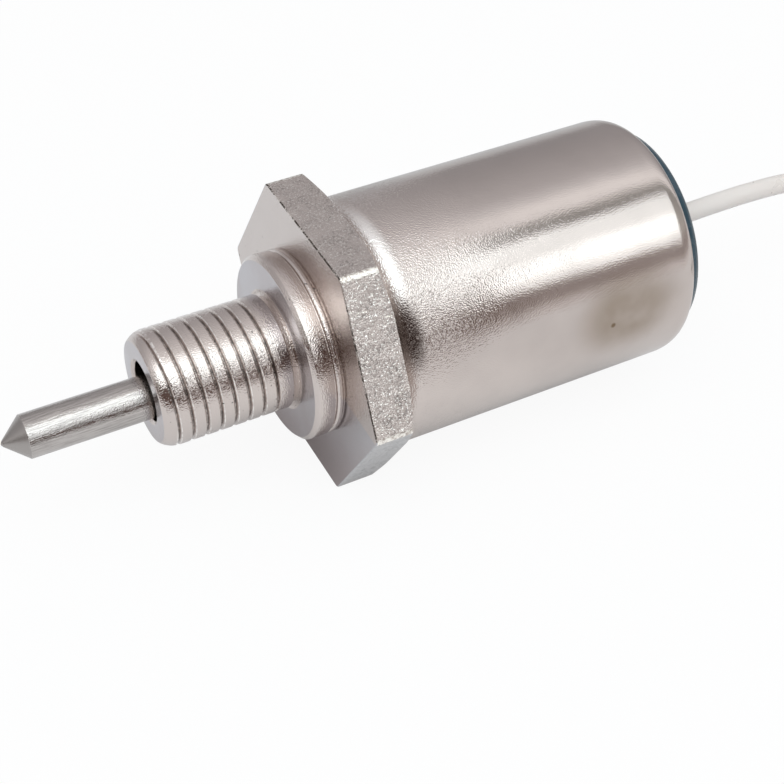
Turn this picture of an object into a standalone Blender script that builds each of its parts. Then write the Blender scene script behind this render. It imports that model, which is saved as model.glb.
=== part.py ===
"""Fuel shutoff solenoid with a hexagon body, a threaded nose and a loose conical needle.

The axis lies along X with the needle toward -X and the single lead leaving toward +X.
The part lies on one flat of its hexagon, on the plane z = 0, and the origin is at the
middle of its base. A coil inside the can pulls the armature and its needle in by STROKE,
against a return spring that holds the needle out when the current is off.
"""

import math

import bmesh
import bpy
from mathutils import Matrix, Vector

mm = 0.001

# driving dimensions
CLEAR = 0.3 * mm            # gap kept between pieces that seat on each other
RUN = 0.1 * mm              # clearance under what slides: the armature and the needle
FACETS = 48                 # facets round the outer pieces
FACETS_INSIDE = 32          # facets round the hidden pieces

# needle: a ground pin with a conical seat, held loosely so that it droops in the bore
PIN_D = 3.74 * mm
PIN_DROOP = 0.63 * mm
PIN_PROTRUSION = 12.1 * mm
CONE_LEN = 1.95 * mm
CONE_TIP_D = 0.5 * mm
HEAD_LIP = 0.2 * mm
HEAD_LEN = 1.4 * mm
HEAD_CHAMFER = 0.25 * mm

# threaded nose
THREAD_D = 10.0 * mm
THREAD_LEN = 9.1 * mm
LEAD_IN_LEN = 1.1 * mm
LEAD_IN_DEPTH = 0.6 * mm
LEAD_IN_BREAK = 0.27 * mm
SHANK_LEN = 2.3 * mm
UNDERCUT_LEN = 0.35 * mm
UNDERCUT_DEPTH = 0.35 * mm
UNDERCUT_FACE = 0.15 * mm   # how far it runs into the collar's face
BORE_EDGE = 0.25 * mm

# sealing collar, and the spanner hexagon
COLLAR_D = 16.3 * mm
COLLAR_LEN = 2.6 * mm
COLLAR_CHAMFER = 0.35 * mm
BEAD_LEN = 0.75 * mm
BEAD_GROOVE = 0.12 * mm
HEX_AF = 23.8 * mm
HEX_LEN = 3.8 * mm
HEX_EDGE = 0.35 * mm
HEX_REAR_LAND = 0.55 * mm
HEX_REAR_SLOPE = 22.2

# rear spigot: the can is staked over it, and it holds the seal of the guide tube
STAKE_LIP = 0.45 * mm
STAKE_LEN = 0.9 * mm
SPIGOT_WALL = 0.65 * mm
STOP_WALL = 0.5 * mm
SEAL_CORD_D = 0.9 * mm

# drawn can with a round front corner and a rear lip turned in over the potting
CAN_D = 22.1 * mm
CAN_LEN = 28.85 * mm
CAN_WALL = 0.9 * mm
CAN_BASE = 1.0 * mm
CAN_FRONT_RADIUS = 2.0 * mm
CAN_LIP_LEN = 1.3 * mm
CAN_LIP_IN = 0.5 * mm

# magnet
TUBE_WALL = 0.35 * mm
TUBE_FLANGE = 0.5 * mm
ARMATURE_WALL = 0.67 * mm
ARMATURE_FRONT = 1.4 * mm
ARMATURE_CHAMFER = 0.3 * mm
STROKE = 3.0 * mm
SHIM_THICK = 0.3 * mm
SHIM_WIDTH = 0.6 * mm
BOBBIN_WALL = 0.7 * mm
BOBBIN_FLANGE = 0.9 * mm
WINDING_INSET = 0.9 * mm
TAPE_THICK = 0.25 * mm
REAR_PLATE = 1.2 * mm
STEM_D = 4.8 * mm
RIVET_LIP = 0.9 * mm
RIVET_LEN = 0.6 * mm
RIVET_BREAK = 0.36 * mm
POLE_POCKET = 2.0 * mm
SPRING_WIRE_D = 0.5 * mm
SPRING_TURNS = 7            # turns that carry the load
SPRING_DEAD = 0.75          # closed turns at each end
SPRING_END_GAP = 0.075 * mm

# wiring inside, and the potting that closes the can
LUG_THICK = 0.4 * mm
LUG_RIM = 1.2 * mm
LUG_TONGUE = 2.6 * mm
TAIL_D = 0.4 * mm
TAIL_HOLE_D = 1.2 * mm
DISC_THICK = 0.4 * mm
SPLICE_D = 2.4 * mm
SPLICE_WALL = 0.35 * mm
SPLICE_LEN = 2.3 * mm
POTTING_DEPTH = 3.75 * mm
POTTING_RISE = 0.75 * mm    # how far its side stands out of the can's lip
POTTING_EDGE = 1.0 * mm
POTTING_SHOULDER = 2.3 * mm
POTTING_BULGE = 0.2 * mm

# lead, wound beyond the rear, and the terminal on its end
LEAD_D = 1.86 * mm
COIL_MEAN_D = 20.0 * mm
COIL_LAYERS = 2
COIL_CENTRE = (70.4 * mm, -10.0 * mm)
TIE_THICK = 0.35 * mm
TIE_WIDTH = 2.4 * mm
TIE_ANGLE = 45.0
SLEEVE_D = 4.4 * mm
SLEEVE_WALL = 0.45 * mm
SLEEVE_LEN = 9.0 * mm
BULLET_D = 3.96 * mm
BULLET_LEN = 8.2 * mm
BULLET_NECK_D = 3.3 * mm
BULLET_NECK_LEN = 0.66 * mm
BULLET_NECK_SLOPE = 0.65 * mm
BULLET_BARREL_D = 2.9 * mm
BULLET_BARREL_LEN = 6.0 * mm

# radii that follow
pin_r = PIN_D / 2
bore_r = pin_r + PIN_DROOP + RUN
head_r = bore_r + HEAD_LIP
pocket_r = head_r + PIN_DROOP + RUN
armature_r = pocket_r + ARMATURE_WALL
chamber_r = armature_r + RUN
tube_r = chamber_r + TUBE_WALL
gland_r = tube_r + CLEAR + SEAL_CORD_D + CLEAR
spigot_r = gland_r + SPIGOT_WALL
can_r = CAN_D / 2
can_in_r = can_r - CAN_WALL
lip_r = can_r - CAN_LIP_IN
inside_r = can_in_r - CLEAR
bobbin_bore_r = tube_r + CLEAR
bobbin_r = bobbin_bore_r + BOBBIN_WALL
winding_in_r = bobbin_r + CLEAR
winding_r = inside_r - WINDING_INSET
pole_r = chamber_r - CLEAR
stem_r = STEM_D / 2
spring_r = head_r - SPRING_WIRE_D / 2
wire_hole_r = (winding_in_r + winding_r) / 2
hex_flat_r = HEX_AF / 2
hex_corner_r = hex_flat_r / math.cos(math.pi / 6)

# stations along the axis
# measured from the end face of the nose, toward the lead
s_shank = THREAD_LEN
s_undercut = s_shank + SHANK_LEN
s_collar = s_undercut + UNDERCUT_LEN
s_hex = s_collar + COLLAR_LEN
s_hex_rear = s_hex + HEX_LEN
s_stop = s_collar + STOP_WALL
s_can = s_hex_rear + CLEAR
s_can_base = s_can + CAN_BASE
s_stake = s_can_base + CLEAR
s_spigot = s_stake + STAKE_LEN
s_gland = s_spigot - TUBE_FLANGE - CLEAR - SEAL_CORD_D - CLEAR
s_bobbin = s_spigot + CLEAR
s_can_rear = s_can + CAN_LEN
s_potting = s_can_rear - POTTING_DEPTH
s_disc = s_potting - CLEAR - DISC_THICK
s_rivet_rear = s_disc - CLEAR
s_lug_rear = s_rivet_rear - RIVET_LEN - CLEAR
s_lug = s_lug_rear - LUG_THICK
s_plate_rear = s_lug - CLEAR
s_plate = s_plate_rear - REAR_PLATE
s_bobbin_rear = s_plate - CLEAR
s_middle = (s_bobbin + s_bobbin_rear) / 2
s_armature = s_stop + CLEAR
s_armature_rear = s_middle - STROKE / 2
s_shim = s_armature_rear + STROKE + CLEAR
s_pole = s_shim + SHIM_THICK + CLEAR
s_pocket = s_armature + ARMATURE_FRONT
s_head = s_pocket + CLEAR
s_spring = s_head + HEAD_LEN + CLEAR
s_spring_rear = s_pole + POLE_POCKET - CLEAR
s_rim = s_can_rear + POTTING_RISE
s_crown = s_rim + POTTING_EDGE + POTTING_BULGE

# the part lies on its hexagon, or on its can if that is the larger
axis_z = max(hex_flat_r, can_r)
origin_x = (PIN_PROTRUSION - s_crown) / 2


# scene and materials
def clear_scene():
    for obj in list(bpy.data.objects):
        bpy.data.objects.remove(obj, do_unlink=True)


def new_collection(name):
    collection = bpy.data.collections.new(name)
    bpy.context.scene.collection.children.link(collection)
    return collection


def new_material(name, colour, roughness, metallic=0.0):
    material = bpy.data.materials.new(name)
    material.use_nodes = True
    shader = material.node_tree.nodes["Principled BSDF"]
    shader.inputs["Base Color"].default_value = (*colour, 1.0)
    shader.inputs["Roughness"].default_value = roughness
    shader.inputs["Metallic"].default_value = metallic
    material.diffuse_color = (*colour, 1.0)
    return material


clear_scene()
parts = new_collection("fuel_shutoff_solenoid")
cutters = new_collection("cutters")

nickel = new_material("nickel_plate", (0.60, 0.56, 0.53), 0.28, 1.0)
ground_steel = new_material("ground_steel", (0.62, 0.60, 0.57), 0.22, 1.0)
soft_iron = new_material("soft_iron", (0.42, 0.41, 0.40), 0.38, 1.0)
zinc_steel = new_material("zinc_steel", (0.55, 0.56, 0.58), 0.40, 1.0)
brass = new_material("brass", (0.72, 0.55, 0.27), 0.30, 1.0)
copper = new_material("enamelled_copper", (0.58, 0.24, 0.10), 0.35, 1.0)
tinned = new_material("tinned_brass", (0.66, 0.65, 0.62), 0.30, 1.0)
spring_wire = new_material("spring_wire", (0.48, 0.47, 0.46), 0.32, 1.0)
nylon = new_material("bobbin_nylon", (0.78, 0.75, 0.66), 0.50)
tape = new_material("winding_tape", (0.70, 0.55, 0.12), 0.45)
fibre = new_material("fibre_board", (0.30, 0.20, 0.13), 0.75)
seal_rubber = new_material("seal_rubber", (0.02, 0.02, 0.02), 0.60)
epoxy = new_material("potting_epoxy", (0.03, 0.07, 0.10), 0.35)
lead_skin = new_material("lead_insulation", (0.72, 0.66, 0.60), 0.35)
sleeve_vinyl = new_material("sleeve_vinyl", (0.55, 0.57, 0.58), 0.40)
tie_vinyl = new_material("tie_vinyl", (0.03, 0.03, 0.035), 0.45)


def add_empty(name, location, parent=None):
    empty = bpy.data.objects.new(name, None)
    empty.empty_display_size = 4 * mm
    empty.location = location
    empty.parent = parent
    parts.objects.link(empty)
    return empty


# every turned piece stands on this frame: its own Z runs along the part's axis
body_axis = add_empty("body_axis", (origin_x, 0.0, axis_z))
body_axis.rotation_euler = (0.0, math.pi / 2, 0.0)
plunger_axis = add_empty("plunger_axis", (0.0, 0.0, s_armature), body_axis)


# modelling helpers
def finish_round(mesh, angle=35.0):
    mesh.shade_smooth()
    mesh.set_sharp_from_angle(angle=math.radians(angle))


def place(obj, material, parent, collection):
    obj.data.materials.append(material)
    obj.parent = parent
    collection.objects.link(obj)
    return obj


def turned(name, outline, material, facets=FACETS, parent=body_axis, collection=parts, start=0.0):
    """Turn an outline of (station, radius) pairs; start is the parent's own station."""
    mesh = bpy.data.meshes.new(name)
    points = [(radius, 0.0, station - start) for station, radius in outline]
    open_ended = outline[0][1] == 0.0 and outline[-1][1] == 0.0
    edges = [(i, i + 1) for i in range(len(points) - 1)]
    if not open_ended:
        edges.append((len(points) - 1, 0))
    mesh.from_pydata(points, edges, [])
    obj = place(bpy.data.objects.new(name, mesh), material, parent, collection)
    screw = obj.modifiers.new("Turn", "SCREW")
    screw.axis = "Z"
    screw.steps = facets
    screw.render_steps = facets
    screw.use_merge_vertices = True
    screw.merge_threshold = 0.00001
    screw.use_smooth_shade = True
    return obj


def arc(station, radius, size, start, end, count=5):
    """Points of an arc of the outline about (station, radius), angles in degrees from the radius axis."""
    points = []
    for i in range(count + 1):
        angle = math.radians(start + (end - start) * i / count)
        points.append((station + size * math.sin(angle), radius + size * math.cos(angle)))
    return points


def tube_outline(front, rear, inner, outer):
    return [(rear, inner), (rear, outer), (front, outer), (front, inner)]


def combine(obj, operation, other):
    modifier = obj.modifiers.new(operation.title(), "BOOLEAN")
    modifier.operation = operation
    modifier.object = other
    return modifier


def as_cutter(obj):
    obj.hide_render = True
    obj.display_type = "WIRE"
    return obj


def drill(name, target, station, reach, across, diameter, facets=16):
    """A straight hole along the axis, off it by across (along world +Z), through reach."""
    depth = reach + 2 * CLEAR
    mesh = bpy.data.meshes.new(name)
    bm = bmesh.new()
    radius = diameter / 2
    bmesh.ops.create_cone(bm, cap_ends=True, segments=facets, radius1=radius, radius2=radius, depth=depth)
    bm.to_mesh(mesh)
    bm.free()
    cutter = as_cutter(place(bpy.data.objects.new(name, mesh), target.active_material, body_axis, cutters))
    cutter.location = (-across, 0.0, station + reach / 2)
    combine(target, "DIFFERENCE", cutter)


def wire(name, points, diameter, material, parent):
    """A round wire through the given points, as a poly spline with filled ends."""
    curve = bpy.data.curves.new(name, "CURVE")
    curve.dimensions = "3D"
    curve.bevel_depth = diameter / 2
    curve.bevel_resolution = 2
    curve.use_fill_caps = True
    spline = curve.splines.new("POLY")
    spline.points.add(len(points) - 1)
    for point, position in zip(spline.points, points):
        point.co = (*position, 1.0)
    return place(bpy.data.objects.new(name, curve), material, parent, parts)


def smooth_route(points, spacing):
    """Points about spacing apart on a smooth curve through the given ones."""
    nodes = [Vector(p) for p in points]
    nodes = [2 * nodes[0] - nodes[1], *nodes, 2 * nodes[-1] - nodes[-2]]
    route = [nodes[1]]
    for before, start, end, after in zip(nodes, nodes[1:], nodes[2:], nodes[3:]):
        count = max(1, round((end - start).length / spacing))
        for i in range(1, count + 1):
            t = i / count
            route.append(
                0.5
                * (
                    2 * start
                    + (end - before) * t
                    + (2 * before - 5 * start + 4 * end - after) * t * t
                    + (3 * start - before - 3 * end + after) * t * t * t
                )
            )
    return route


def flat_piece(name, loops, thickness, material, parent):
    """A flat outline with its holes, extruded by thickness about its own plane."""
    curve = bpy.data.curves.new(name, "CURVE")
    curve.dimensions = "2D"
    curve.fill_mode = "BOTH"
    curve.extrude = thickness / 2
    for loop in loops:
        spline = curve.splines.new("POLY")
        spline.points.add(len(loop) - 1)
        spline.use_cyclic_u = True
        for point, (x, y) in zip(spline.points, loop):
            point.co = (x, y, 0.0, 1.0)
    return place(bpy.data.objects.new(name, curve), material, parent, parts)


def circle_points(radius, count, centre=(0.0, 0.0), start=0.0, end=360.0):
    full = abs(end - start) >= 360.0
    steps = count if full else count - 1
    angles = [math.radians(start + (end - start) * i / steps) for i in range(count)]
    return [(centre[0] + radius * math.cos(a), centre[1] + radius * math.sin(a)) for a in angles]


# turned and milled body
def nose_outline():
    """Thread, shank, collar and spigot outside; bore, armature chamber and seal gland inside."""
    thread_r = THREAD_D / 2
    collar_r = COLLAR_D / 2
    bead = s_hex - BEAD_LEN
    shoulder = s_hex + HEX_LEN / 2
    return [
        (s_spigot, gland_r),
        (s_spigot, spigot_r + STAKE_LIP),
        (s_spigot - STAKE_LEN / 3, spigot_r + STAKE_LIP),
        (s_stake, spigot_r),
        (s_hex_rear - CLEAR, spigot_r),
        (shoulder, collar_r - COLLAR_CHAMFER),
        (s_hex + CLEAR, collar_r - COLLAR_CHAMFER),
        *arc(s_hex - BEAD_LEN / 2, collar_r - BEAD_LEN / 2, BEAD_LEN / 2, 70, -70, 6),
        (bead - BEAD_GROOVE / 2, collar_r - BEAD_GROOVE),
        (bead - BEAD_GROOVE * 1.5, collar_r),
        (s_collar + COLLAR_CHAMFER, collar_r),
        (s_collar, collar_r - COLLAR_CHAMFER),
        (s_collar, thread_r + CLEAR),
        (s_collar + UNDERCUT_FACE, thread_r),
        (s_collar + UNDERCUT_FACE, thread_r - UNDERCUT_DEPTH),
        (s_undercut, thread_r - UNDERCUT_DEPTH),
        (s_undercut - UNDERCUT_DEPTH / 2, thread_r),
        (LEAD_IN_LEN, thread_r),
        (LEAD_IN_LEN / 3, thread_r - LEAD_IN_DEPTH + LEAD_IN_BREAK),
        (0.0, thread_r - LEAD_IN_DEPTH),
        (0.0, bore_r + BORE_EDGE),
        (BORE_EDGE, bore_r),
        (s_stop, bore_r),
        (s_stop, chamber_r),
        (s_gland, chamber_r),
        (s_gland, gland_r),
    ]


def make_threaded_body():
    """The hexagon is milled with a chamfered rear, and the turned nose and spigot are one with it."""
    mesh = bpy.data.meshes.new("threaded_body")
    bm = bmesh.new()
    corner = hex_corner_r
    bmesh.ops.create_cone(bm, cap_ends=True, segments=6, radius1=corner, radius2=corner, depth=HEX_LEN)
    corners = [e for e in bm.edges if abs(e.verts[0].co.z - e.verts[1].co.z) > HEX_LEN / 2]
    bmesh.ops.bevel(bm, geom=corners, offset=HEX_EDGE, segments=2, affect="EDGES", profile=0.5)
    # a flat of the hexagon faces down
    bmesh.ops.rotate(bm, verts=bm.verts, matrix=hexagon_turn(bm))
    bm.to_mesh(mesh)
    bm.free()
    body = place(bpy.data.objects.new("threaded_body", mesh), nickel, body_axis, parts)
    body.location = (0.0, 0.0, s_hex + HEX_LEN / 2)

    # the rear corners are turned off at a slope, outside a land that clears the flats
    land_r = hex_flat_r + HEX_REAR_LAND
    drop = (hex_corner_r - land_r) * math.tan(math.radians(HEX_REAR_SLOPE))
    blank = turned(
        "hexagon_blank",
        [
            (s_hex_rear, 0.0),
            (s_hex_rear, land_r),
            (s_hex_rear - drop, hex_corner_r),
            (s_hex_rear - drop, hex_corner_r + CLEAR),
            (s_hex - CLEAR, hex_corner_r + CLEAR),
            (s_hex - CLEAR, 0.0),
        ],
        nickel,
        FACETS,
        collection=cutters,
    )
    combine(body, "INTERSECT", as_cutter(blank))
    core = turned(
        "hexagon_core",
        [
            (s_hex_rear + CLEAR, 0.0),
            (s_hex_rear + CLEAR, spigot_r - SPIGOT_WALL / 2),
            (s_hex - CLEAR, spigot_r - SPIGOT_WALL / 2),
            (s_hex - CLEAR, 0.0),
        ],
        nickel,
        FACETS,
        collection=cutters,
    )
    combine(body, "DIFFERENCE", as_cutter(core))
    nose = turned("nose_blank", nose_outline(), nickel, FACETS, collection=cutters)
    combine(body, "UNION", as_cutter(nose))
    return body


def hexagon_turn(bm):
    """The turn about the hexagon's own Z that lays one flat against the local +X side."""
    sides = [f for f in bm.faces if abs(f.normal.z) < 0.1]
    flat = max(sides, key=lambda f: f.calc_area())
    angle = math.atan2(flat.normal.y, flat.normal.x)
    return Matrix.Rotation(-angle, 3, "Z")


make_threaded_body()


# can and potting
def make_can():
    """A drawn cup: round front corner, thin wall, and a rear lip drawn in over the potting."""
    corner = arc(s_can + CAN_FRONT_RADIUS, can_r - CAN_FRONT_RADIUS, CAN_FRONT_RADIUS, 0, -90, 5)
    lip_start = s_can_rear - CAN_LIP_LEN
    lip = []
    for i in range(5):
        t = math.radians(90 - 90 * i / 4)
        lip.append((lip_start + CAN_LIP_LEN * math.sin(t), can_r - CAN_LIP_IN * (1 - math.cos(t))))
    outline = [
        (s_can_rear, lip_r - CAN_WALL / 2),
        *lip,
        *corner,
        (s_can, spigot_r + CLEAR),
        (s_can_base, spigot_r + CLEAR),
        (s_can_base, can_in_r),
        (lip_start, can_in_r),
    ]
    turned("can", outline, nickel)


def make_potting():
    """Poured epoxy that domes out of the lip, with a pocket for the splice and its wire."""
    potting_r = min(inside_r, lip_r - CAN_WALL / 2 - CLEAR)
    top_r = potting_r - POTTING_SHOULDER
    crown = [(s_crown - POTTING_BULGE / 4, top_r / 2)]
    for i in range(5):
        t = math.radians(90 * i / 4)
        crown.append((s_rim + POTTING_EDGE * math.cos(t), top_r + POTTING_SHOULDER * math.sin(t)))
    outline = [(s_crown, 0.0), *crown, (s_potting, potting_r), (s_potting, 0.0)]
    potting = turned("potting", outline, epoxy)

    pocket_radius = SPLICE_D / 2 + CLEAR
    pocket = turned(
        "splice_pocket",
        [
            (s_potting + SPLICE_LEN + CLEAR, 0.0),
            (s_potting + SPLICE_LEN + CLEAR, pocket_radius),
            (s_potting - CLEAR, pocket_radius),
            (s_potting - CLEAR, 0.0),
        ],
        epoxy,
        FACETS_INSIDE,
        collection=cutters,
    )
    combine(potting, "DIFFERENCE", as_cutter(pocket))
    slot_depth = 2 * CLEAR + 2 * TAIL_D
    mesh = bpy.data.meshes.new("tail_slot")
    bm = bmesh.new()
    bmesh.ops.create_cube(bm, size=1.0)
    reach = wire_hole_r + TAIL_HOLE_D / 2
    bmesh.ops.scale(bm, vec=(reach, TAIL_HOLE_D, slot_depth + CLEAR), verts=bm.verts)
    bm.to_mesh(mesh)
    bm.free()
    slot = as_cutter(place(bpy.data.objects.new("tail_slot", mesh), epoxy, body_axis, cutters))
    slot.location = (-reach / 2, 0.0, s_potting + slot_depth / 2 - CLEAR / 2)
    combine(potting, "DIFFERENCE", slot)


make_can()
make_potting()


# magnet
def make_guide_tube():
    front = s_gland + CLEAR
    flange_front = s_spigot - TUBE_FLANGE
    turned(
        "guide_tube",
        [
            (s_bobbin_rear, chamber_r),
            (s_bobbin_rear, tube_r),
            (s_spigot, tube_r),
            (s_spigot, gland_r - CLEAR),
            (flange_front, gland_r - CLEAR),
            (flange_front, tube_r),
            (front, tube_r),
            (front, chamber_r),
        ],
        brass,
        FACETS_INSIDE,
    )
    cord_r = SEAL_CORD_D / 2
    ring = arc(s_gland + CLEAR + cord_r, tube_r + CLEAR + cord_r, cord_r, 0, -360, 10)[:-1]
    turned("tube_seal", ring, seal_rubber, FACETS_INSIDE)


def make_pole_piece():
    """The fixed core: pocketed for the spring, shouldered, and riveted through the rear plate."""
    spring_seat_r = spring_r + SPRING_WIRE_D / 2 + CLEAR
    turned(
        "pole_piece",
        [
            (s_rivet_rear, 0.0),
            (s_rivet_rear, stem_r + RIVET_LIP - RIVET_BREAK),
            (s_rivet_rear - RIVET_BREAK, stem_r + RIVET_LIP),
            (s_lug_rear + CLEAR, stem_r + RIVET_LIP),
            (s_lug_rear + CLEAR, stem_r),
            (s_bobbin_rear, stem_r),
            (s_bobbin_rear, pole_r),
            (s_pole, pole_r),
            (s_pole, spring_seat_r),
            (s_pole + POLE_POCKET, spring_seat_r),
            (s_pole + POLE_POCKET, 0.0),
        ],
        soft_iron,
        FACETS_INSIDE,
    )
    turned(
        "shim_ring",
        tube_outline(s_shim, s_shim + SHIM_THICK, pole_r - SHIM_WIDTH, pole_r),
        brass,
        FACETS_INSIDE,
    )


def make_bobbin():
    front_flange = s_bobbin + BOBBIN_FLANGE
    rear_flange = s_bobbin_rear - BOBBIN_FLANGE
    bobbin = turned(
        "bobbin",
        [
            (s_bobbin_rear, bobbin_bore_r),
            (s_bobbin_rear, inside_r),
            (rear_flange, inside_r),
            (rear_flange, bobbin_r),
            (front_flange, bobbin_r),
            (front_flange, inside_r),
            (s_bobbin, inside_r),
            (s_bobbin, bobbin_bore_r),
        ],
        nylon,
        FACETS_INSIDE,
    )
    for side, name in ((1, "upper"), (-1, "lower")):
        drill(f"bobbin_{name}_hole", bobbin, rear_flange, BOBBIN_FLANGE, side * wire_hole_r, TAIL_HOLE_D)
    front = front_flange + CLEAR
    rear = rear_flange - CLEAR
    turned("coil_winding", tube_outline(front, rear, winding_in_r, winding_r), copper, FACETS_INSIDE)
    tape_in = winding_r + CLEAR
    turned("coil_tape", tube_outline(front, rear, tape_in, tape_in + TAPE_THICK), tape, FACETS_INSIDE)


def make_rear_stack():
    """Iron plate that carries the flux to the can, earth lug, and the board under the potting."""
    plate_outline = tube_outline(s_plate, s_plate_rear, stem_r + CLEAR, inside_r)
    plate = turned("rear_plate", plate_outline, zinc_steel, FACETS_INSIDE)
    board = turned(
        "insulating_disc",
        [(s_potting - CLEAR, 0.0), (s_potting - CLEAR, inside_r), (s_disc, inside_r), (s_disc, 0.0)],
        fibre,
        FACETS_INSIDE,
    )
    drill("plate_upper_hole", plate, s_plate, REAR_PLATE, wire_hole_r, TAIL_HOLE_D)
    drill("plate_lower_hole", plate, s_plate, REAR_PLATE, -wire_hole_r, TAIL_HOLE_D)
    drill("board_hole", board, s_disc, DISC_THICK, wire_hole_r, TAIL_HOLE_D)

    # the lug's tongue points down, and its hole lines up with the lower hole of the plate
    eye_r = stem_r + CLEAR
    rim_r = eye_r + LUG_RIM
    half = LUG_TONGUE / 2
    open_angle = math.degrees(math.asin(half / rim_r))
    outer = circle_points(rim_r, 24, start=open_angle, end=360 - open_angle)
    outer += circle_points(half, 9, centre=(wire_hole_r, 0.0), start=-90, end=90)
    loops = [
        outer,
        circle_points(eye_r, 24),
        circle_points(TAIL_HOLE_D / 2, 12, centre=(wire_hole_r, 0.0)),
    ]
    lug = flat_piece("earth_lug", loops, LUG_THICK, tinned, body_axis)
    lug.location = (0.0, 0.0, s_lug + LUG_THICK / 2)


def make_wiring():
    """The winding's live end runs to the splice, and its other end is earthed at the lug."""
    start = s_bobbin_rear - BOBBIN_FLANGE
    level = s_potting + CLEAR + TAIL_D
    splice_r = SPLICE_D / 2
    live = [
        (-wire_hole_r, 0.0, start),
        (-wire_hole_r, 0.0, s_plate),
        (-wire_hole_r, 0.0, s_disc),
        (-wire_hole_r + TAIL_D / 2, 0.0, s_potting),
        (-wire_hole_r + 2 * TAIL_D, 0.0, level),
        (-(wire_hole_r + splice_r) / 2, 0.0, level),
        (-splice_r - CLEAR, 0.0, level),
    ]
    wire("live_tail", live, TAIL_D, copper, body_axis)
    earth_end = s_lug_rear + CLEAR
    earth = [(wire_hole_r, 0.0, start), (wire_hole_r, 0.0, s_plate), (wire_hole_r, 0.0, earth_end)]
    wire("earth_tail", earth, TAIL_D, copper, body_axis)
    bore = splice_r - SPLICE_WALL
    turned(
        "splice_barrel",
        tube_outline(s_potting, s_potting + SPLICE_LEN, bore, splice_r),
        tinned,
        16,
    )


make_guide_tube()
make_pole_piece()
make_bobbin()
make_rear_stack()
make_wiring()


# plunger
def make_armature():
    turned(
        "armature",
        [
            (s_armature_rear, pocket_r),
            (s_armature_rear, armature_r - ARMATURE_CHAMFER),
            (s_armature_rear - ARMATURE_CHAMFER, armature_r),
            (s_armature + ARMATURE_CHAMFER, armature_r),
            (s_armature, armature_r - ARMATURE_CHAMFER),
            (s_armature, bore_r),
            (s_pocket, bore_r),
            (s_pocket, pocket_r),
        ],
        soft_iron,
        FACETS_INSIDE,
        plunger_axis,
        start=s_armature,
    )


def make_needle():
    """The pin hangs low in the bore by PIN_DROOP, with its head loose in the armature."""
    head_rear = s_head + HEAD_LEN
    needle = turned(
        "needle",
        [
            (head_rear, 0.0),
            (head_rear, head_r - HEAD_CHAMFER),
            (head_rear - HEAD_CHAMFER, head_r),
            (s_head, head_r),
            (s_head, pin_r),
            (-PIN_PROTRUSION + CONE_LEN, pin_r),
            (-PIN_PROTRUSION, CONE_TIP_D / 2),
            (-PIN_PROTRUSION, 0.0),
        ],
        ground_steel,
        FACETS,
        plunger_axis,
        start=s_armature,
    )
    needle.location = (PIN_DROOP, 0.0, 0.0)


def make_return_spring():
    """Compression spring between the needle's head and the pole piece, with closed ends."""
    steps = 10
    closed_pitch = SPRING_WIRE_D + SPRING_END_GAP
    length = s_spring_rear - s_spring - SPRING_WIRE_D
    open_length = length - 2 * SPRING_DEAD * closed_pitch
    points = []
    for i in range(round((SPRING_TURNS + 2 * SPRING_DEAD) * steps) + 1):
        turn = i / steps
        open_turns = min(max(turn - SPRING_DEAD, 0.0), SPRING_TURNS)
        z = s_spring + SPRING_WIRE_D / 2 - s_armature
        z += closed_pitch * (turn - open_turns) + open_length * open_turns / SPRING_TURNS
        angle = 2 * math.pi * turn
        points.append((spring_r * math.cos(angle), spring_r * math.sin(angle), z))
    wire("return_spring", points, SPRING_WIRE_D, spring_wire, plunger_axis)


make_armature()
make_needle()
make_return_spring()


# lead, coil and terminal
lead_r = LEAD_D / 2
coil_r = COIL_MEAN_D / 2
rest_z = TIE_THICK + CLEAR + lead_r
lead_exit = Vector((origin_x + s_crown + CLEAR, 0.0, axis_z))
coil_top = rest_z - lead_r + COIL_LAYERS * LEAD_D

# straight out of the potting, down under its own weight, then along the floor to the coil
LEAD_ROUTE = [
    (lead_exit.x, 0.0, axis_z),
    (36.9 * mm, 0.0, 12.15 * mm),
    (43.4 * mm, 0.0, 12.15 * mm),
    (48.9 * mm, 0.0, 11.6 * mm),
    (52.9 * mm, 0.0, 9.95 * mm),
    (56.0 * mm, 0.0, 7.2 * mm),
    (58.8 * mm, 0.0, 4.4 * mm),
    (61.6 * mm, 0.0, 2.45 * mm),
    (63.5 * mm, 0.0, 1.85 * mm),
]

# off the top of the coil, down beside it, and into the terminal's sleeve
TAIL_ROUTE = [
    (80.45 * mm, -17.3 * mm, 3.15 * mm),
    (80.5 * mm, -18.5 * mm, 2.85 * mm),
    (80.55 * mm, -19.7 * mm, 2.5 * mm),
    (80.6 * mm, -20.9 * mm, 2.27 * mm),
    (80.6 * mm, -22.1 * mm, 2.2 * mm),
]


def make_lead():
    wire("lead_wire", smooth_route(LEAD_ROUTE, 2.5 * LEAD_D), LEAD_D, lead_skin, None)
    wire("lead_tail", smooth_route(TAIL_ROUTE, 2.0 * LEAD_D), LEAD_D, lead_skin, None)
    bottom = rest_z - lead_r
    side = coil_r + lead_r
    inner = coil_r - lead_r
    edge = lead_r / 2
    ring = turned(
        "lead_coil",
        [
            (coil_top, inner + edge),
            (coil_top, side - edge),
            (coil_top - edge, side),
            (bottom + edge, side),
            (bottom, side - edge),
            (bottom, inner + edge),
            (bottom + edge, inner),
            (coil_top - edge, inner),
        ],
        lead_skin,
        40,
        None,
    )
    ring.location = (*COIL_CENTRE, 0.0)


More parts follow.
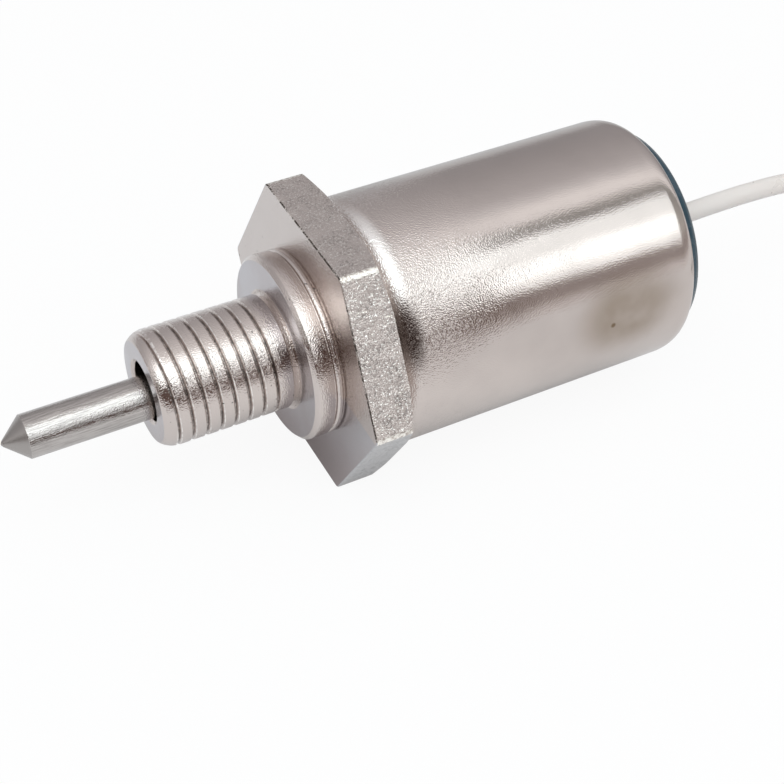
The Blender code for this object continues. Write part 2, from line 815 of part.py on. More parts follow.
def make_tie():
    """A narrow vinyl band round the turns of the coil."""
    half_w = lead_r + CLEAR
    low = rest_z - lead_r - CLEAR
    high = coil_top + CLEAR
    grow = TIE_THICK

    def loop(extra):
        return [
            (-half_w - extra, low - extra + grow),
            (-half_w - extra + grow, low - extra),
            (half_w + extra - grow, low - extra),
            (half_w + extra, low - extra + grow),
            (half_w + extra, high + extra - grow),
            (half_w + extra - grow, high + extra),
            (-half_w - extra + grow, high + extra),
            (-half_w - extra, high + extra - grow),
        ]

    inner = [(-half_w, low), (half_w, low), (half_w, high), (-half_w, high)]
    band = flat_piece("wire_tie", [loop(grow), inner], TIE_WIDTH, tie_vinyl, None)
    angle = math.radians(TIE_ANGLE)
    band.location = (
        COIL_CENTRE[0] + coil_r * math.cos(angle),
        COIL_CENTRE[1] + coil_r * math.sin(angle),
        0.0,
    )
    band.rotation_euler = (math.pi / 2, 0.0, angle)


def make_terminal():
    """Bullet terminal crimped on the lead's end, with a sleeve over its barrel."""
    end = Vector(TAIL_ROUTE[-1])
    frame = add_empty("terminal_axis", (end.x, end.y - CLEAR, SLEEVE_D / 2))
    # the terminal's own Z runs on from the lead, toward -Y
    frame.rotation_euler = (math.pi / 2, 0.0, 0.0)
    sleeve_r = SLEEVE_D / 2
    turned(
        "terminal_sleeve",
        [
            (SLEEVE_LEN, sleeve_r - SLEEVE_WALL),
            (SLEEVE_LEN, sleeve_r),
            (CLEAR, sleeve_r),
            (0.0, sleeve_r - CLEAR),
            (0.0, sleeve_r - SLEEVE_WALL),
        ],
        sleeve_vinyl,
        24,
        frame,
    )
    barrel = SLEEVE_LEN - BULLET_BARREL_LEN
    shoulder = SLEEVE_LEN + CLEAR
    bullet_r = BULLET_D / 2
    neck = shoulder + BULLET_LEN / 2
    land = BULLET_NECK_LEN / 2
    slope = land + BULLET_NECK_SLOPE
    tip = shoulder + BULLET_LEN
    nose = [
        (tip - bullet_r * (1 - math.cos(math.radians(a))), bullet_r * math.sin(math.radians(a)))
        for a in (0, 18, 36, 54, 72, 90)
    ]
    turned(
        "bullet_terminal",
        [
            *nose,
            (neck + slope, bullet_r),
            (neck + land, BULLET_NECK_D / 2),
            (neck - land, BULLET_NECK_D / 2),
            (neck - slope, bullet_r),
            (shoulder, bullet_r),
            (shoulder, BULLET_BARREL_D / 2),
            (barrel, BULLET_BARREL_D / 2),
            (barrel, 0.0),
        ],
        tinned,
        24,
        frame,
    )


make_lead()
make_tie()
make_terminal()

for piece in parts.objects:
    if piece.type == "MESH":
        finish_round(piece.data)
bpy.context.view_layer.update()
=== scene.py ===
import math
from contextlib import contextmanager

import bpy
from bpy.props import FloatProperty, FloatVectorProperty, IntProperty, PointerProperty
from mathutils import Matrix, Quaternion, Vector


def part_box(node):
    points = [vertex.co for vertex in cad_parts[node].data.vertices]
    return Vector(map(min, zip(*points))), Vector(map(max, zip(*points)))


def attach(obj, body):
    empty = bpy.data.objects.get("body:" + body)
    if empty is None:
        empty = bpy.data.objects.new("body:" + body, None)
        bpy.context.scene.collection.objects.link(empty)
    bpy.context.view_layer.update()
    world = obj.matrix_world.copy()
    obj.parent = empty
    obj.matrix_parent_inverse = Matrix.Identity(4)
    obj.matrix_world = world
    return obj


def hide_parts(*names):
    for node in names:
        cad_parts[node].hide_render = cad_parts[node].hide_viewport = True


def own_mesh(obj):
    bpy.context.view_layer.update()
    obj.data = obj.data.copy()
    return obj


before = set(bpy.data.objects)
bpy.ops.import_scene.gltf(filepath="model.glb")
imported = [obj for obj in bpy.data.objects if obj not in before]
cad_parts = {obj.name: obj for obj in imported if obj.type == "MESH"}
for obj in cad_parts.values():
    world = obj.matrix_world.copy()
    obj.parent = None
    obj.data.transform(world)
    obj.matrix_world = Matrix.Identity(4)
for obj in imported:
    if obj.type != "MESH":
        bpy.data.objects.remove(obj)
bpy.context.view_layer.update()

bl_info = {
    "name": "Fuel Shutoff Solenoid",
    "version": (1, 0, 0),
    "blender": (4, 5, 0),
    "location": "View3D > Sidebar > Solenoid",
    "description": "Dresses the packed solenoid with fine pieces and finishes, and sets its stage",
    "category": "Add Mesh",
}

MM = 0.001
NOSE_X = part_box("threaded_body")[0].x
AXIS_Z = sum(corner.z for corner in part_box("threaded_body")) / 2
NEEDLE_Z = sum(corner.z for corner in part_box("needle")) / 2


def length(name, description, millimetres):
    return FloatProperty(
        name=name,
        description=description,
        default=millimetres * MM,
        unit="LENGTH",
        subtype="DISTANCE",
    )


def colour(name, description, red, green, blue):
    return FloatVectorProperty(
        name=name,
        description=description,
        default=(red, green, blue),
        min=0.0,
        max=1.0,
        size=3,
        subtype="COLOR",
    )


# what a user would change
class SolenoidSizes(bpy.types.PropertyGroup):
    thread_pitch: length("Thread pitch", "Advance of the thread in one turn", 1.25)
    thread_depth: length("Thread depth", "Depth of the groove below the crest", 0.34)
    thread_start: length("Thread start", "Station of a groove on top of the nose", 0.80)
    edge_break: length("Edge break", "Radius on turned edges", 0.035)
    hexagon_edge: length("Hexagon edge", "Width of the break on the hexagon's long edges", 0.35)
    lead_diameter: length("Lead diameter", "Outside of the insulation", 1.86)
    strand_diameter: length("Strand diameter", "One strand of the conductor", 0.28)
    tie_thickness: length("Tie thickness", "Thickness of the band", 0.35)


class SolenoidColours(bpy.types.PropertyGroup):
    nickel: colour("Nickel", "Plated body and can", 0.62, 0.555, 0.525)
    ground: colour("Ground steel", "Needle", 0.51, 0.475, 0.455)
    potting: colour("Potting", "Poured resin behind the lip", 0.012, 0.034, 0.050)
    insulation: colour("Insulation", "Skin of the lead", 0.90, 0.83, 0.78)
    copper: colour("Copper", "Conductor and winding", 0.80, 0.36, 0.17)
    tin: colour("Tin", "Bullet terminal", 0.70, 0.69, 0.66)
    sleeve: colour("Sleeve", "Soft vinyl over the crimp", 0.62, 0.64, 0.64)
    tie: colour("Tie", "Vinyl band of the coil", 0.03, 0.03, 0.034)


class SolenoidStage(bpy.types.PropertyGroup):
    floor: colour("Floor", "Pale sweep under the part", 0.86, 0.86, 0.87)
    lamp_colour: colour("Lamp colour", "Cool white of the softboxes", 0.88, 0.965, 1.0)
    key_radiance: FloatProperty(
        name="Softbox brightness",
        description="Brightness of the softboxes as the metal mirrors them",
        default=0.95,
        min=0.0,
    )
    core_radiance: FloatProperty(
        name="Core brightness",
        description="What the bright middle of the tall softbox adds to it",
        default=0.65,
        min=0.0,
    )
    steps: IntProperty(
        name="Turning steps",
        description="Facets round the large turned pieces",
        default=160,
        min=24,
    )


# bench helpers
def at(station, radius=0.0):
    """A point above the axis, from a station behind the nose's end face, both in millimetres."""
    return Vector((NOSE_X + station * MM, 0.0, AXIS_Z + radius * MM))


def clear_selection():
    if bpy.context.mode != "OBJECT":
        bpy.ops.object.mode_set(mode="OBJECT")
    bpy.ops.object.select_all(action="DESELECT")


def pick(obj):
    clear_selection()
    obj.select_set(True)
    bpy.context.view_layer.objects.active = obj


def added(name):
    """The object that the last primitive operator added, under its own name."""
    obj = bpy.context.object
    obj.name = name
    obj.data.name = name
    return obj


def settle(obj):
    """Put the object's place, turn and scale into its mesh."""
    pick(obj)
    bpy.ops.object.transform_apply(location=True, rotation=True, scale=True)
    return obj


def use_modifier(obj, name, kind, **settings):
    """Add a modifier, set it and apply it."""
    pick(obj)
    modifier = obj.modifiers.new(name, kind)
    for key, value in settings.items():
        setattr(modifier, key, value)
    bpy.ops.object.modifier_apply(modifier=modifier.name)


def cut(obj, operation, tool):
    """A Boolean with a tool that is then thrown away."""
    use_modifier(obj, operation.title(), "BOOLEAN", operation=operation, object=tool, solver="EXACT")
    bpy.data.objects.remove(tool, do_unlink=True)


@contextmanager
def editing(obj, part="VERT", wanted=None):
    """Edit mode, and object mode again after it.

    All of the mesh is selected, or else only the edges whose ends satisfy wanted(a, b),
    or the faces that satisfy wanted(centre, normal).
    """
    mesh = obj.data
    pick(obj)
    bpy.ops.object.mode_set(mode="EDIT")
    bpy.ops.mesh.select_mode(type=part)
    bpy.ops.mesh.select_all(action="DESELECT" if wanted else "SELECT")
    if wanted:
        bpy.ops.object.mode_set(mode="OBJECT")
        for edge in mesh.edges if part == "EDGE" else ():
            edge.select = wanted(*(mesh.vertices[i].co for i in edge.vertices))
        for face in mesh.polygons if part == "FACE" else ():
            face.select = wanted(face.center, face.normal)
        bpy.ops.object.mode_set(mode="EDIT")
    yield
    bpy.ops.object.mode_set(mode="OBJECT")


def weld(obj):
    """Join points that lie on each other, close any four-sided gap and turn all faces out."""
    with editing(obj):
        bpy.ops.mesh.remove_doubles(threshold=0.0005 * MM)
        bpy.ops.mesh.fill_holes(sides=4)
        bpy.ops.mesh.normals_make_consistent(inside=False)
    return obj


def broken(outline, size, closed=True):
    """The outline with each corner turned to a small round, of at most size millimetres."""
    nearly_straight = math.radians(160)
    points = [Vector(p) for p in outline]
    count = len(points)
    result = []
    for i, corner in enumerate(points):
        before = points[i - 1] - corner
        after = points[(i + 1) % count] - corner
        open_end = not closed and i in (0, count - 1)
        if open_end or before.angle(after) > nearly_straight:
            result.append(corner)
            continue
        reach = min(size, before.length * 0.4, after.length * 0.4)
        a = corner + before.normalized() * reach
        b = corner + after.normalized() * reach
        result += [a, (a + 2 * corner + b) / 4, b]
    return result


def draw_wire(name, origin, points, start=(0.0, 0.0, 0.0)):
    """A new piece: a line of edges as the points give it, which begins at start from its origin."""
    clear_selection()
    bpy.ops.mesh.primitive_plane_add(size=MM, location=origin)
    obj = added(name)
    with editing(obj):
        bpy.ops.mesh.merge(type="CENTER")
        bpy.ops.transform.translate(value=start)
        for here, there in zip(points, points[1:]):
            bpy.ops.mesh.extrude_region_move(TRANSFORM_OT_translate={"value": there - here})
    return obj


def turn_on_lathe(name, outline, steps, closed=True, axis_z=AXIS_Z):
    """Draw the outline of (station, radius) pairs and spin it about the axis."""
    lift = Vector((0.0, 0.0, axis_z - AXIS_Z))
    points = [at(station, radius) + lift for station, radius in outline]
    obj = draw_wire(name, points[0], points + points[:1] if closed else points)
    with editing(obj):
        bpy.ops.mesh.remove_doubles(threshold=0.001 * MM)
        bpy.ops.mesh.spin(
            steps=steps, angle=math.tau, center=at(0.0) + lift, axis=(1.0, 0.0, 0.0), use_auto_merge=True
        )
        bpy.ops.mesh.select_all(action="SELECT")
        bpy.ops.mesh.remove_doubles(threshold=0.001 * MM)
        bpy.ops.mesh.normals_make_consistent(inside=False)
    return settle(obj)


def smooth_finish(obj, angle):
    """Smooth shading that leaves flat faces flat."""
    pick(obj)
    bpy.ops.object.shade_smooth_by_angle(angle=math.radians(angle))
    use_modifier(obj, "Flat Faces", "WEIGHTED_NORMAL", keep_sharp=True, weight=80)
    return obj


def smooth_route(points, spacing):
    """Points about spacing apart on a smooth curve through the given ones."""
    knots = [Vector(p) for p in points]
    knots = [2 * knots[0] - knots[1], *knots, 2 * knots[-1] - knots[-2]]
    route = [knots[1]]
    for before, start, end, after in zip(knots, knots[1:], knots[2:], knots[3:]):
        count = max(1, round((end - start).length / spacing))
        for i in range(1, count + 1):
            t = i / count
            straight = 2 * start + (end - before) * t
            bend = (2 * before - 5 * start + 4 * end - after) * t * t
            twist = (3 * start - before - 3 * end + after) * t * t * t
            route.append((straight + bend + twist) / 2)
    return route


def along(routes, diameter, name, sides):
    """A curve object with one round wire along each route."""
    curve = bpy.data.curves.new(name, "CURVE")
    curve.dimensions = "3D"
    curve.bevel_depth = diameter / 2
    curve.bevel_resolution = sides
    curve.use_fill_caps = True
    for points in routes:
        spline = curve.splines.new("POLY")
        spline.points.add(len(points) - 1)
        for point, place in zip(spline.points, points):
            point.co = (*place, 1.0)
        spline.use_smooth = True
    obj = bpy.data.objects.new(name, curve)
    bpy.context.scene.collection.objects.link(obj)
    return obj


# finishes
class NodeBench:
    """Adds and joins nodes, for a finish or for the room."""

    def __init__(self, tree):
        self.tree = tree

    def node(self, kind, **settings):
        node = self.tree.nodes.new(kind)
        for key, value in settings.items():
            setattr(node, key, value)
        return node

    def join(self, source, target):
        self.tree.links.new(source, target)

    def feed(self, target, value):
        """Set a socket to a number or a colour, or join another socket to it."""
        if isinstance(value, (int, float)):
            target.default_value = value
        elif isinstance(value, tuple):
            target.default_value = (*value, 1.0)
        else:
            self.join(value, target)

    def maths(self, operation, a, b=0.0):
        node = self.node("ShaderNodeMath", operation=operation)
        self.feed(node.inputs[0], a)
        self.feed(node.inputs[1], b)
        return node.outputs[0]

    def product(self, a, b):
        return self.maths("MULTIPLY", a, b)

    def split(self, vector):
        """The X, Y and Z sockets of a vector."""
        node = self.node("ShaderNodeSeparateXYZ")
        self.join(vector, node.inputs[0])
        return node.outputs

    def ramp(self, value, low, high, out_low=0.0, out_high=1.0, kind="SMOOTHSTEP"):
        """The value, brought from the range low to high to the range out_low to out_high."""
        node = self.node("ShaderNodeMapRange", interpolation_type=kind)
        self.join(value, node.inputs["Value"])
        node.inputs["From Min"].default_value = low
        node.inputs["From Max"].default_value = high
        node.inputs["To Min"].default_value = out_low
        node.inputs["To Max"].default_value = out_high
        return node.outputs["Result"]

    def blend(self, factor, a, b):
        """Colour a where the factor is 0, and colour b where it is 1."""
        node = self.node("ShaderNodeMix", data_type="RGBA")
        for index, value in ((0, factor), (6, a), (7, b)):
            self.feed(node.inputs[index], value)
        return node.outputs[2]


class Finish(NodeBench):
    """A node material that is built up step by step, with its sizes in millimetres."""

    def __init__(self, name, base, roughness, metallic=0.0):
        self.material = bpy.data.materials.new(name)
        self.material.use_nodes = True
        self.material.diffuse_color = (*base, 1.0)
        super().__init__(self.material.node_tree)
        self.shader = self.tree.nodes["Principled BSDF"]
        self.shader.inputs["Base Color"].default_value = (*base, 1.0)
        self.shader.inputs["Roughness"].default_value = roughness
        self.shader.inputs["Metallic"].default_value = metallic
        self.normal = None
        self.place = self.node("ShaderNodeTexCoord").outputs["Object"]

    def mapped(self, scale, centre=(0.0, 0.0, 0.0)):
        """Object coordinates about a centre, multiplied by scale."""
        node = self.node("ShaderNodeMapping", vector_type="TEXTURE")
        node.inputs["Location"].default_value = centre
        node.inputs["Scale"].default_value = [1.0 / s for s in scale]
        self.join(self.place, node.inputs["Vector"])
        return node.outputs["Vector"]

    def noise(self, size, detail=2.0, roughness=0.5, vector=None, distortion=0.0):
        """Noise whose lumps are about size across."""
        node = self.node("ShaderNodeTexNoise")
        self.join(vector or self.place, node.inputs["Vector"])
        node.inputs["Scale"].default_value = 1.0 / (size * MM)
        node.inputs["Detail"].default_value = detail
        node.inputs["Roughness"].default_value = roughness
        node.inputs["Distortion"].default_value = distortion
        return node.outputs["Fac"]

    def near(self, point, inner, outer):
        """1 within the inner distance of a point, and 0 beyond the outer one."""
        node = self.node("ShaderNodeVectorMath", operation="DISTANCE")
        self.join(self.place, node.inputs[0])
        node.inputs[1].default_value = point
        return self.ramp(node.outputs["Value"], inner * MM, outer * MM, 1.0, 0.0)

    def patch(self, centre, half_length, half_width):
        """A soft oval that is long along X, 1 in the middle and 0 at its rim."""
        scale = (1.0 / (half_length * MM), 1.0 / (half_width * MM), 1.0 / (half_width * MM))
        node = self.node("ShaderNodeVectorMath", operation="LENGTH")
        self.join(self.mapped(scale, centre), node.inputs[0])
        return self.ramp(node.outputs["Value"], 0.25, 1.0, 1.0, 0.0)

    def paint(self, colour_socket):
        self.join(colour_socket, self.shader.inputs["Base Color"])

    def gloss(self, value, low, high, rough_low, rough_high, kind="SMOOTHSTEP"):
        """Let the roughness follow a value between low and high."""
        roughness = self.ramp(value, low, high, rough_low, rough_high, kind)
        self.join(roughness, self.shader.inputs["Roughness"])

    def emboss(self, height, depth):
        """Add a bump of a depth from a height between 0 and 1."""
        node = self.node("ShaderNodeBump")
        node.inputs["Strength"].default_value = 1.0
        node.inputs["Distance"].default_value = depth * MM
        self.join(height, node.inputs["Height"])
        if self.normal is not None:
            self.join(self.normal, node.inputs["Normal"])
        self.normal = node.outputs["Normal"]
        self.join(self.normal, self.shader.inputs["Normal"])

    def wrap(self, axis_z=AXIS_Z):
        """(distance from the axis, station) of the surface point, in metres."""
        station, across, height = self.split(self.place)
        up = self.maths("SUBTRACT", height, axis_z)
        squares = self.maths("ADD", self.product(across, across), self.product(up, up))
        return self.maths("SQRT", squares), station

    def lathe_lines(self, size, axis_z=AXIS_Z):
        """Fine rings left by a turning tool, on cylinders and on end faces alike."""
        rings = self.node("ShaderNodeCombineXYZ")
        self.join(self.maths("ADD", *self.wrap(axis_z)), rings.inputs[0])
        return self.noise(size, 3.0, vector=rings.outputs[0])


def chosen(name):
    """A colour from the panel."""
    return tuple(getattr(bpy.context.scene.solenoid_colours, name))


def toned(base, share):
    """A colour made darker or lighter."""
    return tuple(channel * share for channel in base)


def camera_side(station, up, toward_camera):
    """A point on the side of the axis that the camera sees, all in millimetres."""
    return at(station, up) - Vector((0.0, toward_camera * MM, 0.0))


def nickel_can():
    """Drawn nickel with an orange-peel front, a stain and a dark speck, and a painted highlight and a
    painted dark reflection on its round front corner.
    """
    tint = chosen("nickel")
    coat = Finish("nickel_can", tint, 0.20, 1.0)
    coat.emboss(coat.noise(3.2, 1.0), 0.025)
    station = coat.split(coat.place)["X"]
    toward_front = coat.ramp(station, at(19.0).x, at(30.0).x, 1.0, 0.15)
    coat.emboss(coat.product(coat.noise(0.11, 0.0), toward_front), 0.050)
    coat.emboss(coat.product(coat.noise(0.30, 1.0), toward_front), 0.008)
    cloud = coat.noise(5.0, 3.0)
    ragged = coat.ramp(cloud, 0.2, 0.6, 0.55, 1.0)
    stain = coat.product(coat.patch(camera_side(40.2, 1.9, 10.8), 6.6, 5.2), ragged)
    # painted highlight: a pale patch over the top of the round front corner
    painted_light_mask = coat.patch(camera_side(19.3, 10.2, 2.7), 1.6, 7.0)
    # painted dark reflection: a near-black patch low on the round front corner, on the camera's side
    shaded = coat.product(coat.patch(camera_side(19.6, 5.9, 8.8), 1.5, 4.2), 0.9)
    speck = coat.product(coat.near(camera_side(38.6, 1.1, 11.0), 0.12, 0.32), 0.8)
    base = coat.blend(coat.ramp(cloud, 0.35, 0.75), tint, toned(tint, 0.94))
    base = coat.blend(stain, base, (0.37, 0.305, 0.25))
    # the painted highlight and then the painted dark reflection go into the colour
    base = coat.blend(painted_light_mask, base, (0.95, 0.92, 0.90))
    base = coat.blend(shaded, base, (0.10, 0.075, 0.065))
    coat.paint(coat.blend(speck, base, (0.16, 0.10, 0.05)))
    coat.gloss(cloud, 0.3, 0.7, 0.09, 0.14)
    return coat.material


def nickel_turned():
    """Turned and plated metal, with painted shade in the thread's groove and painted highlights on its
    lips.
    """
    tint = chosen("nickel")
    coat = Finish("nickel_turned", tint, 0.16, 1.0)
    coat.emboss(coat.lathe_lines(0.14), 0.012)
    coat.emboss(coat.noise(0.105, 0.0), 0.024)
    pits = coat.ramp(coat.noise(0.42, 2.0, 0.6), 0.71, 0.74)
    coat.emboss(pits, -0.03)
    radius, station = coat.wrap()
    threaded = coat.product(
        coat.ramp(station, at(0.75).x, at(0.9).x),
        coat.ramp(station, at(10.8).x, at(11.0).x, 1.0, 0.0),
    )
    # painted shade in the root of the thread's groove
    groove = coat.ramp(radius, 4.72 * MM, 4.92 * MM, 1.0, 0.0)
    # painted highlight on the lips of the groove
    lip = coat.product(
        coat.ramp(radius, 4.915 * MM, 4.94 * MM),
        coat.ramp(radius, 4.965 * MM, 4.985 * MM, 1.0, 0.0),
    )
    # noise that varies the painted groove shade and the painted lip highlight
    painted_light_mask = coat.ramp(coat.noise(0.5, 3.0, 0.6), 0.36, 0.62)
    painted_groove_shade = coat.blend(painted_light_mask, toned(tint, 0.50), toned(tint, 0.85))
    base = coat.blend(coat.product(groove, threaded), tint, painted_groove_shade)
    base = coat.blend(coat.product(coat.product(lip, threaded), painted_light_mask), base, (0.93, 0.89, 0.86))
    coat.paint(coat.blend(pits, base, toned(tint, 0.20)))
    coat.gloss(coat.noise(2.5, 3.0), 0.35, 0.7, 0.07, 0.12)
    return coat.material


def nickel_faced():
    """Satin end faces, a little cooler than the bright plating, with painted shade toward the floor."""
    coat = Finish("nickel_faced", (0.577, 0.550, 0.570), 0.24, 1.0)
    coat.emboss(coat.lathe_lines(0.06), 0.0015)
    coat.emboss(coat.noise(0.6, 3.0), 0.010)
    cloud = coat.ramp(coat.noise(3.5, 3.0), 0.3, 0.7)
    shade = coat.blend(cloud, (0.500, 0.465, 0.475), (0.540, 0.520, 0.540))
    # painted shade: the faces grow darker toward the floor
    low = coat.ramp(coat.split(coat.place)["Z"], 0.001, 0.012, 1.0, 0.0)
    coat.paint(coat.blend(low, shade, (0.33, 0.275, 0.275)))
    return coat.material


def nickel_flat(name, tint, grain, depth, roughness, glint_share):
    """A sawn and plated flat of the hexagon, with painted glints as bright flecks and short cuts."""
    coat = Finish(name, tint, roughness, 1.0)
    lumps = coat.noise(grain, 3.0, 0.6)
    grit = coat.noise(grain * 0.6, 1.0)
    coat.emboss(lumps, depth)
    coat.emboss(grit, depth * 0.5)
    coat.emboss(coat.noise(grain * 4.0, 1.0), depth)
    cuts = coat.noise(0.16, 2.0, 0.5, coat.mapped((0.22, 1.0, 1.0)))
    # painted glints on the grit and on the short cuts, as strong as the flat's share of glints
    grit_glints = coat.product(coat.ramp(grit, 0.58, 0.68), glint_share)
    cut_glints = coat.product(coat.ramp(cuts, 0.66, 0.74), glint_share)
    shade = coat.blend(coat.ramp(lumps, 0.36, 0.60), toned(tint, 0.72 - glint_share * 0.22), tint)
    shade = coat.blend(coat.ramp(coat.noise(1.6, 3.0, 0.6), 0.30, 0.70), shade, tint)
    shade = coat.blend(grit_glints, shade, (0.99, 0.97, 0.93))
    coat.paint(coat.blend(cut_glints, shade, (0.98, 0.94, 0.86)))
    coat.gloss(lumps, 0.35, 0.65, roughness + 0.10, roughness - 0.04)
    return coat.material


def nickel_chipped():
    """The hexagon's front edge, where the plating is chipped down to dark steel."""
    coat = Finish("nickel_chipped", (0.60, 0.55, 0.52), 0.30, 1.0)
    runs = coat.ramp(coat.noise(1.3, 2.0, 0.6), 0.40, 0.62, -0.10, 0.12)
    plated = coat.ramp(coat.maths("ADD", coat.noise(0.16, 2.0, 0.7), runs), 0.44, 0.56)
    coat.emboss(plated, 0.03)
    coat.paint(coat.blend(plated, (0.07, 0.055, 0.045), (0.64, 0.58, 0.54)))
    coat.gloss(plated, 0.0, 1.0, 0.55, 0.25, "LINEAR")
    return coat.material


def nickel_worn():
    """Plating rubbed pale on the long edges of the hexagon."""
    coat = Finish("nickel_worn", (0.86, 0.82, 0.75), 0.34, 1.0)
    rubs = coat.noise(0.25, 3.0, 0.6)
    coat.emboss(rubs, 0.05)
    coat.paint(coat.blend(coat.ramp(rubs, 0.35, 0.6), (0.50, 0.44, 0.40), (0.97, 0.94, 0.88)))
    return coat.material


def ground_pin():
    """Ground steel with fine streaks along the needle."""
    tint = chosen("ground")
    coat = Finish("ground_pin", tint, 0.20, 1.0)
    streaks = coat.noise(1.0, 3.0, 0.65, coat.mapped((0.45, 6.0, 6.0), (0.0, 0.0, NEEDLE_Z)))
    coat.emboss(streaks, 0.022)
    coat.emboss(coat.noise(0.11, 0.0), 0.012)
    coat.paint(coat.blend(coat.ramp(streaks, 0.34, 0.60), toned(tint, 0.74), tint))
    coat.gloss(streaks, 0.3, 0.7, 0.20, 0.12)
    return coat.material


def ground_cone():
    """The needle's cone, with rings from the grinding wheel."""
    tint = toned(chosen("ground"), 0.80)
    coat = Finish("ground_cone", tint, 0.30, 1.0)
    rings = coat.lathe_lines(0.06, NEEDLE_Z)
    coat.emboss(rings, 0.004)
    coat.emboss(coat.noise(0.14, 2.0), 0.004)
    coat.paint(coat.blend(coat.ramp(rings, 0.3, 0.7), toned(tint, 0.85), tint))
    return coat.material


def dark_resin():
    """Poured resin with a faint swirl and small bubbles."""
    tint = chosen("potting")
    coat = Finish("dark_resin", tint, 0.22)
    swirl = coat.noise(2.6, 3.0, distortion=0.8)
    coat.emboss(coat.noise(1.8, 2.0), 0.05)
    coat.emboss(coat.ramp(coat.noise(0.8, 2.0, 0.6), 0.70, 0.78), 0.05)
    coat.paint(coat.blend(swirl, tint, toned(tint, 1.9)))
    coat.gloss(swirl, 0.3, 0.7, 0.16, 0.34)
    return coat.material


def clear_insulation():
    """Pale insulation that lets a little of its conductor through."""
    tint = chosen("insulation")
    coat = Finish("clear_insulation", tint, 0.30)
    coat.shader.inputs["Transmission Weight"].default_value = 0.15
    coat.shader.inputs["IOR"].default_value = 1.42
    coat.emboss(coat.noise(1.2, 2.0), 0.015)
    cloud = coat.noise(2.4, 2.0)
    coat.paint(coat.blend(cloud, tint, (0.93, 0.89, 0.86)))
    coat.gloss(cloud, 0.3, 0.7, 0.26, 0.38)
    return coat.material


def drawn_metal(name, base, roughness, grain=0.3, depth=0.004):
    """Wire, tube or bar stock: a metal with fine drawing lines and a cloudy gloss."""
    coat = Finish(name, base, roughness, 1.0)
    lines = coat.noise(grain, 3.0, 0.6, coat.mapped((0.2, 2.5, 2.5), (0.0, 0.0, AXIS_Z)))
    coat.emboss(lines, depth)
    coat.paint(coat.blend(coat.ramp(lines, 0.3, 0.7), toned(base, 0.80), base))
    coat.gloss(coat.noise(1.5, 2.0), 0.3, 0.7, roughness - 0.05, roughness + 0.08)
    return coat.material


def moulded(name, base, roughness, grain=0.35, depth=0.01):
    """Rubber, plastic or board with a fine skin."""
    coat = Finish(name, base, roughness)
    skin = coat.noise(grain, 3.0, 0.6)
    coat.emboss(skin, depth)
    coat.paint(coat.blend(coat.noise(3.0, 2.0), toned(base, 0.82), base))
    coat.gloss(skin, 0.3, 0.7, roughness - 0.05, roughness + 0.08)
    return coat.material


def wound_copper():
    """Enamelled wire, wound turn by turn along the bobbin."""
    turn = 0.25 * MM
    base = chosen("copper")
    coat = Finish("wound_copper", base, 0.30, 1.0)
    wave = coat.node("ShaderNodeTexWave", wave_type="BANDS", bands_direction="X", wave_profile="SIN")
    coat.join(coat.place, wave.inputs["Vector"])
    wave.inputs["Scale"].default_value = 0.314 / turn
    wave.inputs["Distortion"].default_value = 0.4
    coat.emboss(wave.outputs["Fac"], 0.10)
    coat.paint(coat.blend(wave.outputs["Fac"], toned(base, 0.45), base))
    return coat.material


def dress(obj, *materials):
    obj.data.materials.clear()
    for material in materials:
        obj.data.materials.append(material)


# outlines of the turned pieces: station and radius in millimetres
CREST_RADIUS = 5.0
HEXAGON_FRONT, HEXAGON_REAR = 14.35, 18.15
BODY_OUTLINE = [
    (20.65, 6.15), (20.65, 7.25), (20.35, 7.25), (19.75, 6.80), (17.85, 6.80), (16.25, 7.80),
    (14.65, 7.80), (14.24, 7.92), (14.18, 8.09), (14.06, 8.15), (13.86, 8.15), (13.72, 8.07),
    (13.64, 7.90), (13.54, 7.90), (13.46, 8.15), (12.10, 8.15), (11.75, 7.80),
    (11.75, 5.30), (11.90, 5.00), (11.90, 4.65), (11.40, 4.65), (11.23, 5.00), (1.25, 5.00),
    (0.75, 4.88), (0.367, 4.69), (0.08, 4.46), (0.0, 4.36), (0.0, 2.85), (0.25, 2.60),
    (12.25, 2.60), (12.25, 4.30), (18.65, 4.30), (18.65, 6.15),
]
NEEDLE_OUTLINE = [
    (15.65, 0.0), (15.65, 2.55), (15.40, 2.80), (14.25, 2.80), (14.25, 1.87), (-10.13, 1.87),
    (-10.17, 1.83), (-11.93, 0.28), (-12.05, 0.14), (-12.10, 0.0),
]
BULLET_OUTLINE = [
    (17.50, 0.0), (17.46, 0.42), (17.28, 0.95), (16.95, 1.42), (16.50, 1.75), (15.90, 1.94),
    (15.20, 1.98), (14.38, 1.98), (13.73, 1.65), (13.07, 1.65), (12.42, 1.98), (9.30, 1.98),
    (9.30, 1.45), (3.00, 1.45), (3.00, 0.0),
]
SLEEVE_OUTLINE = [
    (9.00, 1.75), (9.00, 2.12), (8.80, 2.20), (5.20, 2.20), (4.20, 2.17), (0.50, 2.19), (0.22, 2.18),
    (0.0, 2.00), (0.0, 1.75),
]


# the lead: out of the resin, down to the floor, round its coil and off to the terminal
LEAD_ROUTE = [
    (36.9, 0.0, 12.15), (43.4, 0.0, 12.15), (48.9, 0.0, 11.6), (52.9, 0.0, 9.95), (56.0, 0.0, 7.2),
    (58.8, 0.0, 4.4), (61.6, 0.0, 2.45), (63.5, 0.0, 1.85), (67.0, 0.0, 1.66),
]
COIL_CENTRE = (70.4, -10.0)
COIL_RADIUS = 10.0
COIL_LOW, COIL_HIGH = 1.58, 3.44
TAIL_ROUTE = [
    (80.42, -13.8, 3.42), (80.45, -17.3, 3.15), (80.5, -18.5, 2.85), (80.55, -19.7, 2.5),
    (80.6, -20.9, 2.27), (80.6, -22.1, 2.2),
]


